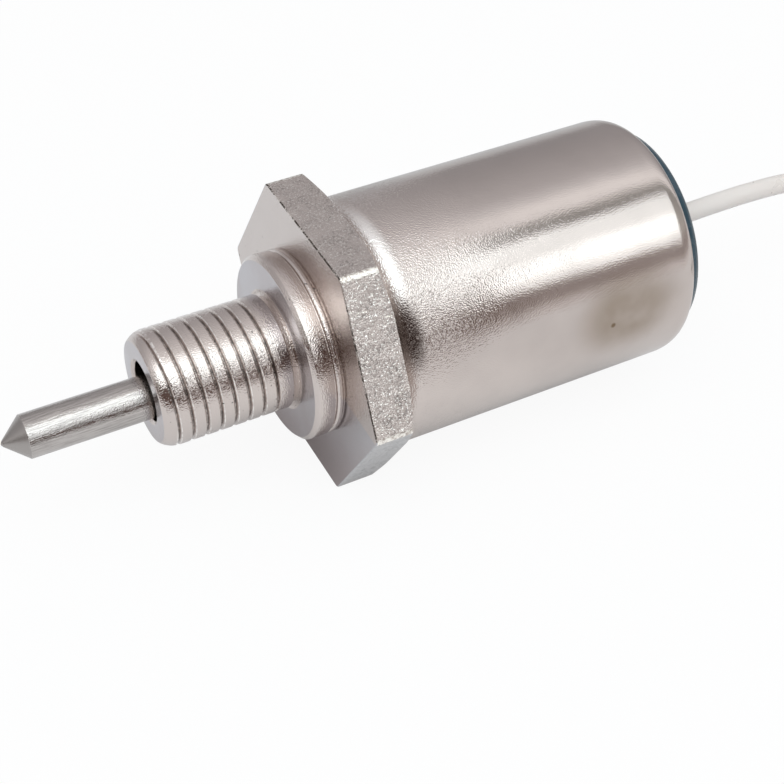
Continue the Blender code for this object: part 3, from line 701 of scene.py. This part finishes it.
# the camera: its place in metres, its angles in degrees and its lens in millimetres
CAMERA_PLACE = (-0.045128, -0.086852, 0.099883)
CAMERA_AZIMUTH, CAMERA_ELEVATION, CAMERA_ROLL = 29.89, 44.38, 2.72
CAMERA_LENS, CAMERA_SENSOR = 70.17, 36.0


# bands of the room, seen in the metal: degrees from overhead toward the camera's side,
# and half the light from there
CAN_BANDS = [
    (-180, 0.40, 0.40, 0.41),
    (-105, 0.25, 0.25, 0.255),
    (-92, 0.19, 0.187, 0.19),
    (-78, 0.20, 0.195, 0.20),
    (-58, 0.225, 0.22, 0.225),
    (-42, 0.26, 0.255, 0.26),
    (-26, 0.30, 0.295, 0.30),
    (-14, 0.40, 0.40, 0.405),
    (-6, 0.56, 0.56, 0.56),
    (3, 0.55, 0.55, 0.55),
    (10, 0.20, 0.20, 0.195),
    (20, 0.20, 0.20, 0.195),
    (60, 0.30, 0.295, 0.28),
    (69, 0.205, 0.185, 0.18),
    (79, 0.205, 0.183, 0.175),
    (87, 0.41, 0.40, 0.395),
]
NOSE_BANDS = [
    (-180, 0.40, 0.40, 0.41),
    (-105, 0.33, 0.33, 0.34),
    (-92, 0.25, 0.245, 0.25),
    (-78, 0.24, 0.235, 0.24),
    (-58, 0.27, 0.265, 0.27),
    (-42, 0.32, 0.315, 0.32),
    (-26, 0.38, 0.375, 0.38),
    (-14, 0.44, 0.44, 0.445),
    (-6, 0.52, 0.52, 0.52),
    (4, 0.50, 0.50, 0.50),
    (12, 0.24, 0.24, 0.235),
    (38, 0.24, 0.24, 0.23),
    (46, 0.12, 0.11, 0.105),
    (58, 0.075, 0.055, 0.05),
    (88, 0.065, 0.04, 0.033),
    (97, 0.38, 0.37, 0.37),
]


# operators, one for each piece
class SOLENOID_OT_set_stage(bpy.types.Operator):
    """Set the camera, the pale floor, the softboxes and the room"""

    bl_idname = "solenoid.set_stage"
    bl_label = "Set Stage"

    def execute(self, context):
        settings = context.scene.solenoid_stage
        self.camera(context)
        clear_selection()
        bpy.ops.mesh.primitive_plane_add(size=2.4, location=(0.0, 0.0, -0.04 * MM))
        floor = added("sweep")
        with editing(floor):
            bpy.ops.mesh.subdivide(number_cuts=3)
        settle(floor)
        dress(floor, self.floor_paint(tuple(settings.floor)))

        key, core = settings.key_radiance, settings.core_radiance
        self.softbox("wide_softbox", (-50.0, 24.0), (5.0, 41.0), key * 2.0)
        self.softbox("tall_softbox", (24.5, 42.0), (23.0, 62.0), key * 1.1)
        self.softbox("low_softbox", (-4.0, 11.5), (37.0, 71.0), key * 1.6)
        self.softbox("bright_core", (24.5, 40.0), (41.0, 55.0), core)
        self.room(context)
        context.scene.view_settings.view_transform = "Standard"
        return {"FINISHED"}

    def camera(self, context):
        clear_selection()
        bpy.ops.object.camera_add(location=CAMERA_PLACE)
        camera = bpy.context.object
        camera.name = "bench_camera"
        azimuth, elevation = math.radians(CAMERA_AZIMUTH), math.radians(CAMERA_ELEVATION)
        level = math.cos(elevation)
        ahead = Vector((math.sin(azimuth) * level, math.cos(azimuth) * level, -math.sin(elevation)))
        roll = Quaternion((0.0, 0.0, 1.0), math.radians(CAMERA_ROLL))
        camera.rotation_mode = "QUATERNION"
        camera.rotation_quaternion = ahead.to_track_quat("-Z", "Y") @ roll
        camera.data.lens = CAMERA_LENS
        camera.data.sensor_width = CAMERA_SENSOR
        camera.data.clip_start = 5.0 * MM
        context.scene.camera = camera

    def floor_paint(self, base):
        """White to the camera with a light shadow; to what the metal mirrors, a white glow with painted
        shade near the part, behind it, toward the nose and toward the can's rear, over pale paint with
        painted shade near the part and toward the can's rear.
        """
        paint = Finish("sweep_paint", base, 0.9)
        glow = paint.node("ShaderNodeEmission")
        glow.inputs["Color"].default_value = (1.0, 1.0, 1.0, 1.0)
        seen = paint.node("ShaderNodeLightPath").outputs
        mirrored = paint.maths("MAXIMUM", seen["Is Glossy Ray"], seen["Is Transmission Ray"])
        open_sky = paint.node("ShaderNodeAmbientOcclusion", samples=6)
        open_sky.inputs["Distance"].default_value = 20.0 * MM
        openness = open_sky.outputs["AO"]
        x, y = paint.split(paint.place)[:2]
        # painted shade in the glow the metal mirrors: less glow near the part, behind it, toward the
        # nose and toward the can's rear
        glint = paint.product(mirrored, paint.ramp(openness, 0.1, 0.9, 0.20, 0.68))
        glint = paint.product(glint, paint.ramp(y, 0.0, 0.03, 1.0, 0.05))
        glint = paint.product(glint, paint.ramp(x, -0.020, 0.004, 0.42, 1.0))
        glint = paint.product(glint, paint.ramp(x, 0.010, 0.024, 1.0, 0.80))
        # painted shade in the paint the metal mirrors: darker near the part and toward the can's rear
        near_part = paint.ramp(openness, 0.05, 0.7, 1.0, 0.0)
        shade = paint.maths("MAXIMUM", near_part, paint.ramp(x, 0.008, 0.026, 0.0, 0.55))
        paint.paint(paint.blend(paint.product(mirrored, shade), base, (0.45, 0.44, 0.44)))
        share = paint.maths("MAXIMUM", glint, paint.product(seen["Is Camera Ray"], 0.92))
        mix = paint.node("ShaderNodeMixShader")
        for index, source in enumerate((share, paint.shader.outputs[0], glow.outputs[0])):
            paint.join(source, mix.inputs[index])
        paint.join(mix.outputs[0], paint.tree.nodes["Material Output"].inputs["Surface"])
        return paint.material

    def softbox(self, name, along_axis, from_overhead, radiance):
        """A softbox that faces the part, placed and sized by the angles it is seen between."""
        swing, lean = (math.radians(sum(pair) / 2) for pair in (along_axis, from_overhead))
        leaning = Vector((0.0, -math.sin(lean), math.cos(lean)))
        toward = math.cos(swing) * leaning + Vector((math.sin(swing), 0.0, 0.0))
        side = Vector((math.cos(swing), 0.0, 0.0)) - math.sin(swing) * leaning
        distance = 0.6
        wide, tall = (
            2 * distance * math.tan(math.radians(end - start) / 2)
            for start, end in (along_axis, from_overhead)
        )
        clear_selection()
        bpy.ops.object.light_add(type="AREA", location=toward * distance + at(18.0))
        lamp = bpy.context.object
        lamp.name = name
        lamp.data.shape = "RECTANGLE"
        lamp.data.size = wide
        lamp.data.size_y = tall
        lamp.data.energy = radiance * math.pi * wide * tall
        lamp.data.color = bpy.context.scene.solenoid_stage.lamp_colour
        turn = Matrix((side, toward.cross(side), toward)).transposed()
        lamp.rotation_mode = "QUATERNION"
        lamp.rotation_quaternion = turn.to_quaternion()

    def room(self, context):
        """Bands of light and shade round the part's own axis, and white to the camera."""
        world = bpy.data.worlds.new("studio_room")
        context.scene.world = world
        world.use_nodes = True
        bench = NodeBench(world.node_tree)
        x, y, z = bench.split(bench.node("ShaderNodeTexCoord").outputs["Generated"])
        angle = bench.maths("ARCTAN2", bench.product(y, -1.0), z)
        share = bench.ramp(angle, -math.pi, math.pi, kind="LINEAR")
        over_nose = self.bands(bench, share, NOSE_BANDS)
        over_can = self.bands(bench, share, CAN_BANDS)
        toward_lead = bench.ramp(x, 0.36, 0.43, kind="LINEAR")
        around = bench.blend(toward_lead, over_nose, over_can)
        seen = bench.node("ShaderNodeLightPath").outputs
        background = world.node_tree.nodes["Background"]
        light = bench.blend(seen["Is Camera Ray"], around, (0.5, 0.5, 0.5))
        bench.join(light, background.inputs["Color"])
        background.inputs["Strength"].default_value = 2.0

    def bands(self, bench, share, stops):
        """Half the room's light, by the share of a full turn from below, up the far side and over."""
        ramp = bench.node("ShaderNodeValToRGB")
        bench.join(share, ramp.inputs[0])
        elements = ramp.color_ramp.elements
        while len(elements) < len(stops):
            elements.new(0.5)
        for element, (degrees, red, green, blue) in zip(elements, stops):
            element.position = degrees / 360 + 0.5
            element.color = (red, green, blue, 1.0)
        return ramp.outputs[0]


def lead_line():
    """Points of the lead's centreline, in metres."""
    climb_starts, climb_takes = -165, 65
    turns = []
    for degrees in range(90, -361, -15):
        share = min(max((climb_starts - degrees) / climb_takes, 0.0), 1.0)
        climb = share * share * (3 - 2 * share)
        angle = math.radians(degrees)
        x = COIL_CENTRE[0] + COIL_RADIUS * math.cos(angle)
        y = COIL_CENTRE[1] + COIL_RADIUS * math.sin(angle)
        turns.append((x, y, COIL_LOW + (COIL_HIGH - COIL_LOW) * climb))
    start = (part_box("lead_wire")[0].x, 0.0, AXIS_Z)
    route = [Vector(point) * MM for point in (*LEAD_ROUTE, *turns, *TAIL_ROUTE)]
    return smooth_route([start, *route], 0.9 * MM)


class SOLENOID_OT_lay_lead(bpy.types.Operator):
    """Lay the insulated lead along its route, with its twisted conductor inside"""

    bl_idname = "solenoid.lay_lead"
    bl_label = "Lay Lead"

    def execute(self, context):
        sizes = context.scene.solenoid_sizes
        line = lead_line()
        lead = along([line], sizes.lead_diameter, "lead", 6)
        dress(lead, clear_insulation())
        strands = self.strands(line, sizes.strand_diameter)
        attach(lead, "housing")
        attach(strands, "housing")
        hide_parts("lead_wire", "lead_coil", "lead_tail")
        return {"FINISHED"}

    def strands(self, line, diameter):
        """Seven strands: one along the middle and six twisted round it."""
        run, sides, ups = [0.0], [], []
        up = Vector((0.0, 0.0, 1.0))
        for i, point in enumerate(line):
            ahead = (line[min(i + 1, len(line) - 1)] - line[max(i - 1, 0)]).normalized()
            up = (up - ahead * up.dot(ahead)).normalized()
            ups.append(up.copy())
            sides.append(ahead.cross(up))
            if i:
                run.append(run[-1] + (point - line[i - 1]).length)
        routes = [list(line)]
        lay = 6.5 * MM
        for k in range(6):
            route = []
            for point, side, lift, distance in zip(line, sides, ups, run):
                angle = math.tau * (distance / lay + k / 6)
                route.append(point + diameter * (side * math.cos(angle) + lift * math.sin(angle)))
            routes.append(route)
        strands = along(routes, diameter, "lead_strands", 1)
        dress(strands, drawn_metal("bare_copper", chosen("copper"), 0.28))
        return strands


class SOLENOID_OT_turn_body(bpy.types.Operator):
    """Mill the hexagon, join it with the turned nose, collar and spigot, and cut the thread"""

    bl_idname = "solenoid.turn_body"
    bl_label = "Turn Threaded Body"

    def execute(self, context):
        sizes = context.scene.solenoid_sizes
        steps = context.scene.solenoid_stage.steps
        body = self.hexagon(sizes, steps)
        nose = turn_on_lathe("nose_blank", broken(BODY_OUTLINE, sizes.edge_break / MM), steps)
        cut(body, "UNION", nose)
        cut(body, "DIFFERENCE", self.thread_tool(sizes))
        smooth_finish(weld(body), 32.0)
        self.assign_finishes(body)
        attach(body, "housing")
        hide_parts("threaded_body")
        return {"FINISHED"}

    def hexagon(self, sizes, steps):
        low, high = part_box("threaded_body")
        flat = (high.z - low.z) / 2 / MM
        corner = flat / math.cos(math.pi / 6)
        middle = (HEXAGON_FRONT + HEXAGON_REAR) / 2
        clear_selection()
        bpy.ops.mesh.primitive_cylinder_add(
            vertices=6,
            radius=corner * MM,
            depth=(HEXAGON_REAR - HEXAGON_FRONT) * MM,
            end_fill_type="NGON",
            location=at(middle),
            rotation=(0.0, math.pi / 2, 0.0),
        )
        body = settle(added("body"))
        with editing(body, "EDGE", lambda a, b: abs(a.x - b.x) > MM):
            bpy.ops.mesh.bevel(offset=sizes.hexagon_edge, segments=3, affect="EDGES")
        front = at(HEXAGON_FRONT + 0.01).x
        with editing(body, "EDGE", lambda a, b: max(a.x, b.x) < front):
            bpy.ops.mesh.bevel(offset=0.10 * MM, segments=2, affect="EDGES")
        land = flat + 0.55
        drop = (corner - land) * math.tan(math.radians(22.2))
        rim = HEXAGON_REAR - drop
        blank = [
            (HEXAGON_REAR, 0.0), (HEXAGON_REAR, land - 0.15), (HEXAGON_REAR - 0.05, land),
            (rim, corner), (rim, corner + 1.0), (14.0, corner + 1.0), (14.0, 0.0),
        ]
        cut(body, "INTERSECT", turn_on_lathe("hexagon_blank", blank, steps, closed=False))
        core = [(18.5, 0.0), (18.5, 6.5), (14.0, 6.5), (14.0, 0.0)]
        cut(body, "DIFFERENCE", turn_on_lathe("hexagon_core", core, steps // 2, closed=False))
        return body

    def thread_tool(self, sizes):
        """A helical groove with flared lips, which runs out of the metal at both ends."""
        pitch = sizes.thread_pitch
        lip = 0.07 * MM
        half_root = 0.02 * MM
        half_crest = half_root + sizes.thread_depth * math.tan(math.radians(30))
        crest = CREST_RADIUS * MM
        outside = crest + 0.3 * MM
        half = [
            (half_crest + lip, outside),
            (half_crest + lip, crest + lip / 2),
            (half_crest - lip, crest - lip),
            (half_root, crest - sizes.thread_depth),
        ]
        section = [(-along_axis, out) for along_axis, out in reversed(half)] + half
        first = sizes.thread_start - 2 * pitch
        points = [Vector((first + along_axis, 0.0, out)) for along_axis, out in section]
        tool = draw_wire("thread_tool", at(0.0), points, start=points[0])
        with editing(tool):
            bpy.ops.mesh.edge_face_add()
            bpy.ops.mesh.delete(type="ONLY_FACE")
        steps = 72
        use_modifier(
            tool,
            "Helix",
            "SCREW",
            axis="X",
            steps=steps,
            render_steps=steps,
            iterations=10,
            screw_offset=pitch,
            angle=math.tau,
            use_merge_vertices=False,
        )
        with editing(tool, "EDGE"):
            bpy.ops.mesh.select_all(action="DESELECT")
            bpy.ops.mesh.select_non_manifold()
            bpy.ops.mesh.fill_holes(sides=len(section))
            bpy.ops.mesh.select_all(action="SELECT")
            bpy.ops.mesh.normals_make_consistent(inside=False)
        settle(tool)
        # the tool widens from its new origin on, so that it lifts out of the metal in its last turn
        widening, over = 0.16, 0.9 * MM
        bpy.context.scene.cursor.location = at(9.8)
        bpy.ops.object.origin_set(type="ORIGIN_CURSOR")
        stations = [vertex.co.x for vertex in tool.data.vertices]
        front, rear = min(stations), max(stations)
        use_modifier(
            tool,
            "Lift Out",
            "SIMPLE_DEFORM",
            deform_method="TAPER",
            deform_axis="X",
            factor=rear * widening / over,
            limits=(-front / (rear - front), 1.0),
        )
        return settle(tool)

    def assign_finishes(self, body):
        tint = chosen("nickel")
        # lit and shaded copies of one flat finish: the upper front flat gets a lighter tint with full
        # painted glints, the top flat a darker tint, and the lower front flat a cool grey as a painted
        # floor reflection; the flats opposite repeat them
        dress(
            body,
            nickel_turned(),
            nickel_flat("nickel_flat_fine", toned(tint, 0.96), 0.20, 0.014, 0.26, 0.55),
            nickel_flat("nickel_flat_coarse", toned(tint, 1.06), 0.28, 0.170, 0.17, 1.0),
            nickel_flat("nickel_flat_smooth", (0.56, 0.555, 0.57), 0.30, 0.004, 0.16, 0.0),
            nickel_faced(),
            nickel_worn(),
            nickel_chipped(),
        )
        fine, coarse, smooth, faced, worn, chipped = range(1, 7)
        nose_end = at(0.1).x
        front, rear = at(HEXAGON_FRONT + 0.15).x, at(HEXAGON_REAR - 0.01).x
        for face in body.data.polygons:
            station = face.center.x
            radius = math.hypot(face.center.y, face.center.z - AXIS_Z) / MM
            lean = face.normal.x
            if lean < -0.95 and (radius > 5.2 or station < nose_end):
                face.material_index = faced
            around = math.degrees(math.atan2(-face.normal.y, face.normal.z)) % 360
            flat = (fine, coarse, smooth, fine, coarse, smooth)[round(around / 60) % 6]
            if station < front and -0.96 < lean < -0.2 and radius > 11.0:
                face.material_index = smooth if flat == smooth else chipped
            if front < station < rear and radius > 9.5 and abs(lean) < 0.3:
                from_corner = abs(around % 60 - 30)
                face.material_index = worn if from_corner < 22 else flat


class SOLENOID_OT_draw_can(bpy.types.Operator):
    """Draw the can with its round front corner and its turned-in rear lip"""

    bl_idname = "solenoid.draw_can"
    bl_label = "Draw Can"

    def execute(self, context):
        outline = [(47.30, 10.12), (47.30, 10.45)]
        rear, round_length, round_depth = 46.0, 1.3, 0.5
        for i in range(9):
            t = math.radians(86 - 86 * i / 8)
            outline.append((rear + round_length * math.sin(t), 11.05 - round_depth * (1 - math.cos(t))))
        front, corner = 18.45, 2.0
        for i in range(13):
            t = math.radians(-90 * i / 12)
            outline.append((front + corner + corner * math.sin(t), 9.05 + corner * math.cos(t)))
        outline += [(front, 7.10), (19.45, 7.10), (19.45, 10.15), (rear, 10.15)]
        can = turn_on_lathe("drawn_can", outline, context.scene.solenoid_stage.steps)
        smooth_finish(can, 40.0)
        dress(can, nickel_can())
        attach(can, "housing")
        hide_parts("can")
        return {"FINISHED"}


class SOLENOID_OT_pour_potting(bpy.types.Operator):
    """Pour the resin, which creeps up the can's lip and the lead"""

    bl_idname = "solenoid.pour_potting"
    bl_label = "Pour Potting"

    def execute(self, context):
        outline = [
            (49.45, 0.0), (49.48, 0.86), (49.86, 0.97), (49.80, 1.08), (49.56, 1.30), (49.38, 1.72),
            (49.28, 2.40), (49.22, 3.6), (49.14, 5.4), (49.06, 7.3), (48.98, 8.35), (48.79, 9.15),
            (48.48, 9.66), (48.05, 9.86), (47.60, 9.92), (47.34, 10.0), (47.24, 10.08), (47.0, 10.06),
            (46.2, 9.95), (43.55, 9.85), (43.55, 1.50), (46.15, 1.50), (46.15, 0.0),
        ]
        resin = turn_on_lathe("resin", outline, 96, closed=False)
        clear_selection()
        bpy.ops.mesh.primitive_cube_add(
            size=1.0, location=at(44.1, 4.1), scale=(1.70 * MM, 1.2 * MM, 8.4 * MM)
        )
        cut(resin, "DIFFERENCE", settle(added("tail_slot")))
        smooth_finish(resin, 40.0)
        dress(resin, dark_resin())
        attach(resin, "housing")
        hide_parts("potting")
        return {"FINISHED"}


class SOLENOID_OT_grind_needle(bpy.types.Operator):
    """Grind the needle with its head and its blunt cone"""

    bl_idname = "solenoid.grind_needle"
    bl_label = "Grind Needle"

    def execute(self, context):
        needle = turn_on_lathe("pin", NEEDLE_OUTLINE, 96, closed=False, axis_z=NEEDLE_Z)
        smooth_finish(needle, 25.0)
        dress(needle, ground_pin(), ground_cone())
        base = at(-10.15).x
        for face in needle.data.polygons:
            if face.center.x < base:
                face.material_index = 1
        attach(needle, "plunger")
        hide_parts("needle")
        return {"FINISHED"}


class SOLENOID_OT_wind_spring(bpy.types.Operator):
    """Wind the return spring and attach it to the plunger"""

    bl_idname = "solenoid.wind_spring"
    bl_label = "Wind Return Spring"

    def execute(self, context):
        low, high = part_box("return_spring")
        wire = 0.5 * MM
        radius = 2.55 * MM
        dead, turns, steps = 0.75, 7, 24
        closed_pitch = wire + 0.075 * MM
        open_length = high.x - low.x - wire - 2 * dead * closed_pitch
        route = []
        for i in range(round((turns + 2 * dead) * steps) + 1):
            turn = i / steps
            open_turns = min(max(turn - dead, 0.0), turns)
            x = low.x + wire / 2 + closed_pitch * (turn - open_turns) + open_length * open_turns / turns
            angle = math.tau * turn
            route.append(Vector((x, radius * math.sin(angle), AXIS_Z - radius * math.cos(angle))))
        spring = along([route], wire, "spring", 3)
        pick(spring)
        bpy.ops.object.convert(target="MESH")
        spring = weld(bpy.context.object)
        dress(spring, drawn_metal("spring_wire", (0.50, 0.49, 0.48), 0.30))
        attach(spring, "plunger")
        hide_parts("return_spring")
        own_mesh(spring)
        return {"FINISHED"}


class SOLENOID_OT_tie_lead(bpy.types.Operator):
    """Wrap the vinyl band round the lead's coil"""

    bl_idname = "solenoid.tie_lead"
    bl_label = "Tie Lead"

    def execute(self, context):
        sizes = context.scene.solenoid_sizes
        wall = sizes.tie_thickness
        slack = 0.3 * MM
        low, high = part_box("wire_tie")
        turn = math.radians(45.0)
        place = (low + high) / 2
        wide = sizes.lead_diameter + 2 * (slack + wall)
        clear_selection()
        bpy.ops.mesh.primitive_cube_add(size=1.0, location=place, rotation=(0.0, 0.0, turn))
        band = added("tie_band")
        band.scale = (wide, 2.4 * MM, high.z - low.z)
        settle(band)
        side = Vector((-math.sin(turn), math.cos(turn), 0.0))
        with editing(band, "EDGE", lambda a, b: abs((a - b).normalized().dot(side)) > 0.9):
            bpy.ops.mesh.bevel(offset=0.75 * MM, segments=6, affect="EDGES")
        with editing(band, "FACE", lambda centre, normal: abs(normal.dot(side)) > 0.9):
            bpy.ops.mesh.inset(thickness=wall, depth=0.0)
            bpy.ops.mesh.bridge_edge_loops()
            bpy.ops.mesh.select_all(action="SELECT")
            bpy.ops.mesh.normals_make_consistent(inside=False)
        use_modifier(band, "Soft Edges", "BEVEL", width=0.06 * MM, segments=2, limit_method="ANGLE")
        smooth_finish(band, 40.0)
        dress(band, moulded("tie_vinyl", chosen("tie"), 0.42, 0.3, 0.02))
        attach(band, "housing")
        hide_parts("wire_tie")
        return {"FINISHED"}


class SOLENOID_OT_crimp_terminal(bpy.types.Operator):
    """Crimp the bullet terminal on the lead's end and slide its sleeve over"""

    bl_idname = "solenoid.crimp_terminal"
    bl_label = "Crimp Terminal"

    def execute(self, context):
        bullet = self.beside_lead("bullet", BULLET_OUTLINE, closed=False)
        dress(bullet, drawn_metal("tinned_bullet", chosen("tin"), 0.24, 0.2, 0.003))
        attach(bullet, "housing")
        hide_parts("bullet_terminal")
        sleeve = self.beside_lead("sleeve", SLEEVE_OUTLINE, closed=True)
        dress(sleeve, moulded("sleeve_vinyl", chosen("sleeve"), 0.36, 0.5, 0.02))
        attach(sleeve, "housing")
        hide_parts("terminal_sleeve")
        return {"FINISHED"}

    def beside_lead(self, name, outline, closed):
        """Turn a piece on the part's axis, then swing it into line with the lead's end."""
        low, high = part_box("terminal_sleeve")
        piece = turn_on_lathe(name, broken(outline, 0.12, closed), 64, closed)
        place = Vector(((low.x + high.x) / 2, high.y, (low.z + high.z) / 2))
        with editing(piece):
            bpy.ops.transform.translate(value=place - at(0.0))
            bpy.ops.transform.rotate(value=math.pi / 2, orient_axis="Z", center_override=place)
        return smooth_finish(piece, 30.0)


class SOLENOID_OT_finish_inside(bpy.types.Operator):
    """Give every piece that stays from the frame its own finish"""

    bl_idname = "solenoid.finish_inside"
    bl_label = "Finish Inner Pieces"

    def execute(self, context):
        iron = drawn_metal("soft_iron", (0.42, 0.41, 0.40), 0.36)
        brass = drawn_metal("brass", (0.72, 0.55, 0.27), 0.28)
        enamel = drawn_metal("enamelled_copper", chosen("copper"), 0.30)
        tinned = drawn_metal("tinned_brass", chosen("tin"), 0.28)
        finishes = {
            "armature": iron,
            "pole_piece": iron,
            "shim_ring": brass,
            "guide_tube": brass,
            "rear_plate": drawn_metal("zinc_steel", (0.55, 0.56, 0.58), 0.38),
            "tube_seal": moulded("seal_rubber", (0.02, 0.02, 0.02), 0.55),
            "bobbin": moulded("bobbin_nylon", (0.78, 0.75, 0.66), 0.45),
            "coil_winding": wound_copper(),
            "coil_tape": moulded("winding_tape", (0.70, 0.52, 0.10), 0.28, 1.5, 0.02),
            "insulating_disc": moulded("fibre_board", (0.30, 0.19, 0.12), 0.70, 0.25, 0.03),
            "earth_lug": tinned,
            "splice_barrel": tinned,
            "earth_tail": enamel,
            "live_tail": enamel,
        }
        for node, material in finishes.items():
            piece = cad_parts[node]
            for slot in piece.material_slots:
                slot.material = material
        return {"FINISHED"}


class SOLENOID_PT_panel(bpy.types.Panel):
    """Every step of the solenoid, in order"""

    bl_label = "Solenoid"
    bl_idname = "SOLENOID_PT_panel"
    bl_space_type = "VIEW_3D"
    bl_region_type = "UI"
    bl_category = "Solenoid"

    def draw(self, context):
        for step in STEPS:
            self.layout.operator(step.bl_idname)
        for group in ("solenoid_sizes", "solenoid_colours", "solenoid_stage"):
            box = self.layout.box()
            settings = getattr(context.scene, group)
            for name in settings.__annotations__:
                box.prop(settings, name)


STEPS = (
    SOLENOID_OT_set_stage,
    SOLENOID_OT_turn_body,
    SOLENOID_OT_draw_can,
    SOLENOID_OT_pour_potting,
    SOLENOID_OT_grind_needle,
    SOLENOID_OT_wind_spring,
    SOLENOID_OT_tie_lead,
    SOLENOID_OT_crimp_terminal,
    SOLENOID_OT_lay_lead,
    SOLENOID_OT_finish_inside,
)
GROUPS = (
    (SolenoidSizes, "solenoid_sizes"),
    (SolenoidColours, "solenoid_colours"),
    (SolenoidStage, "solenoid_stage"),
)


def register():
    for group, name in GROUPS:
        bpy.utils.register_class(group)
        setattr(bpy.types.Scene, name, PointerProperty(type=group))
    for step in (*STEPS, SOLENOID_PT_panel):
        bpy.utils.register_class(step)


def unregister():
    for step in reversed((*STEPS, SOLENOID_PT_panel)):
        bpy.utils.unregister_class(step)
    for group, name in reversed(GROUPS):
        delattr(bpy.types.Scene, name)
        bpy.utils.unregister_class(group)


def main():
    register()
    bpy.ops.solenoid.set_stage()
    bpy.ops.solenoid.turn_body()
    bpy.ops.solenoid.draw_can()
    bpy.ops.solenoid.pour_potting()
    bpy.ops.solenoid.grind_needle()
    bpy.ops.solenoid.wind_spring()
    bpy.ops.solenoid.tie_lead()
    bpy.ops.solenoid.crimp_terminal()
    bpy.ops.solenoid.lay_lead()
    bpy.ops.solenoid.finish_inside()
    clear_selection()


if __name__ == "__main__":
    main()
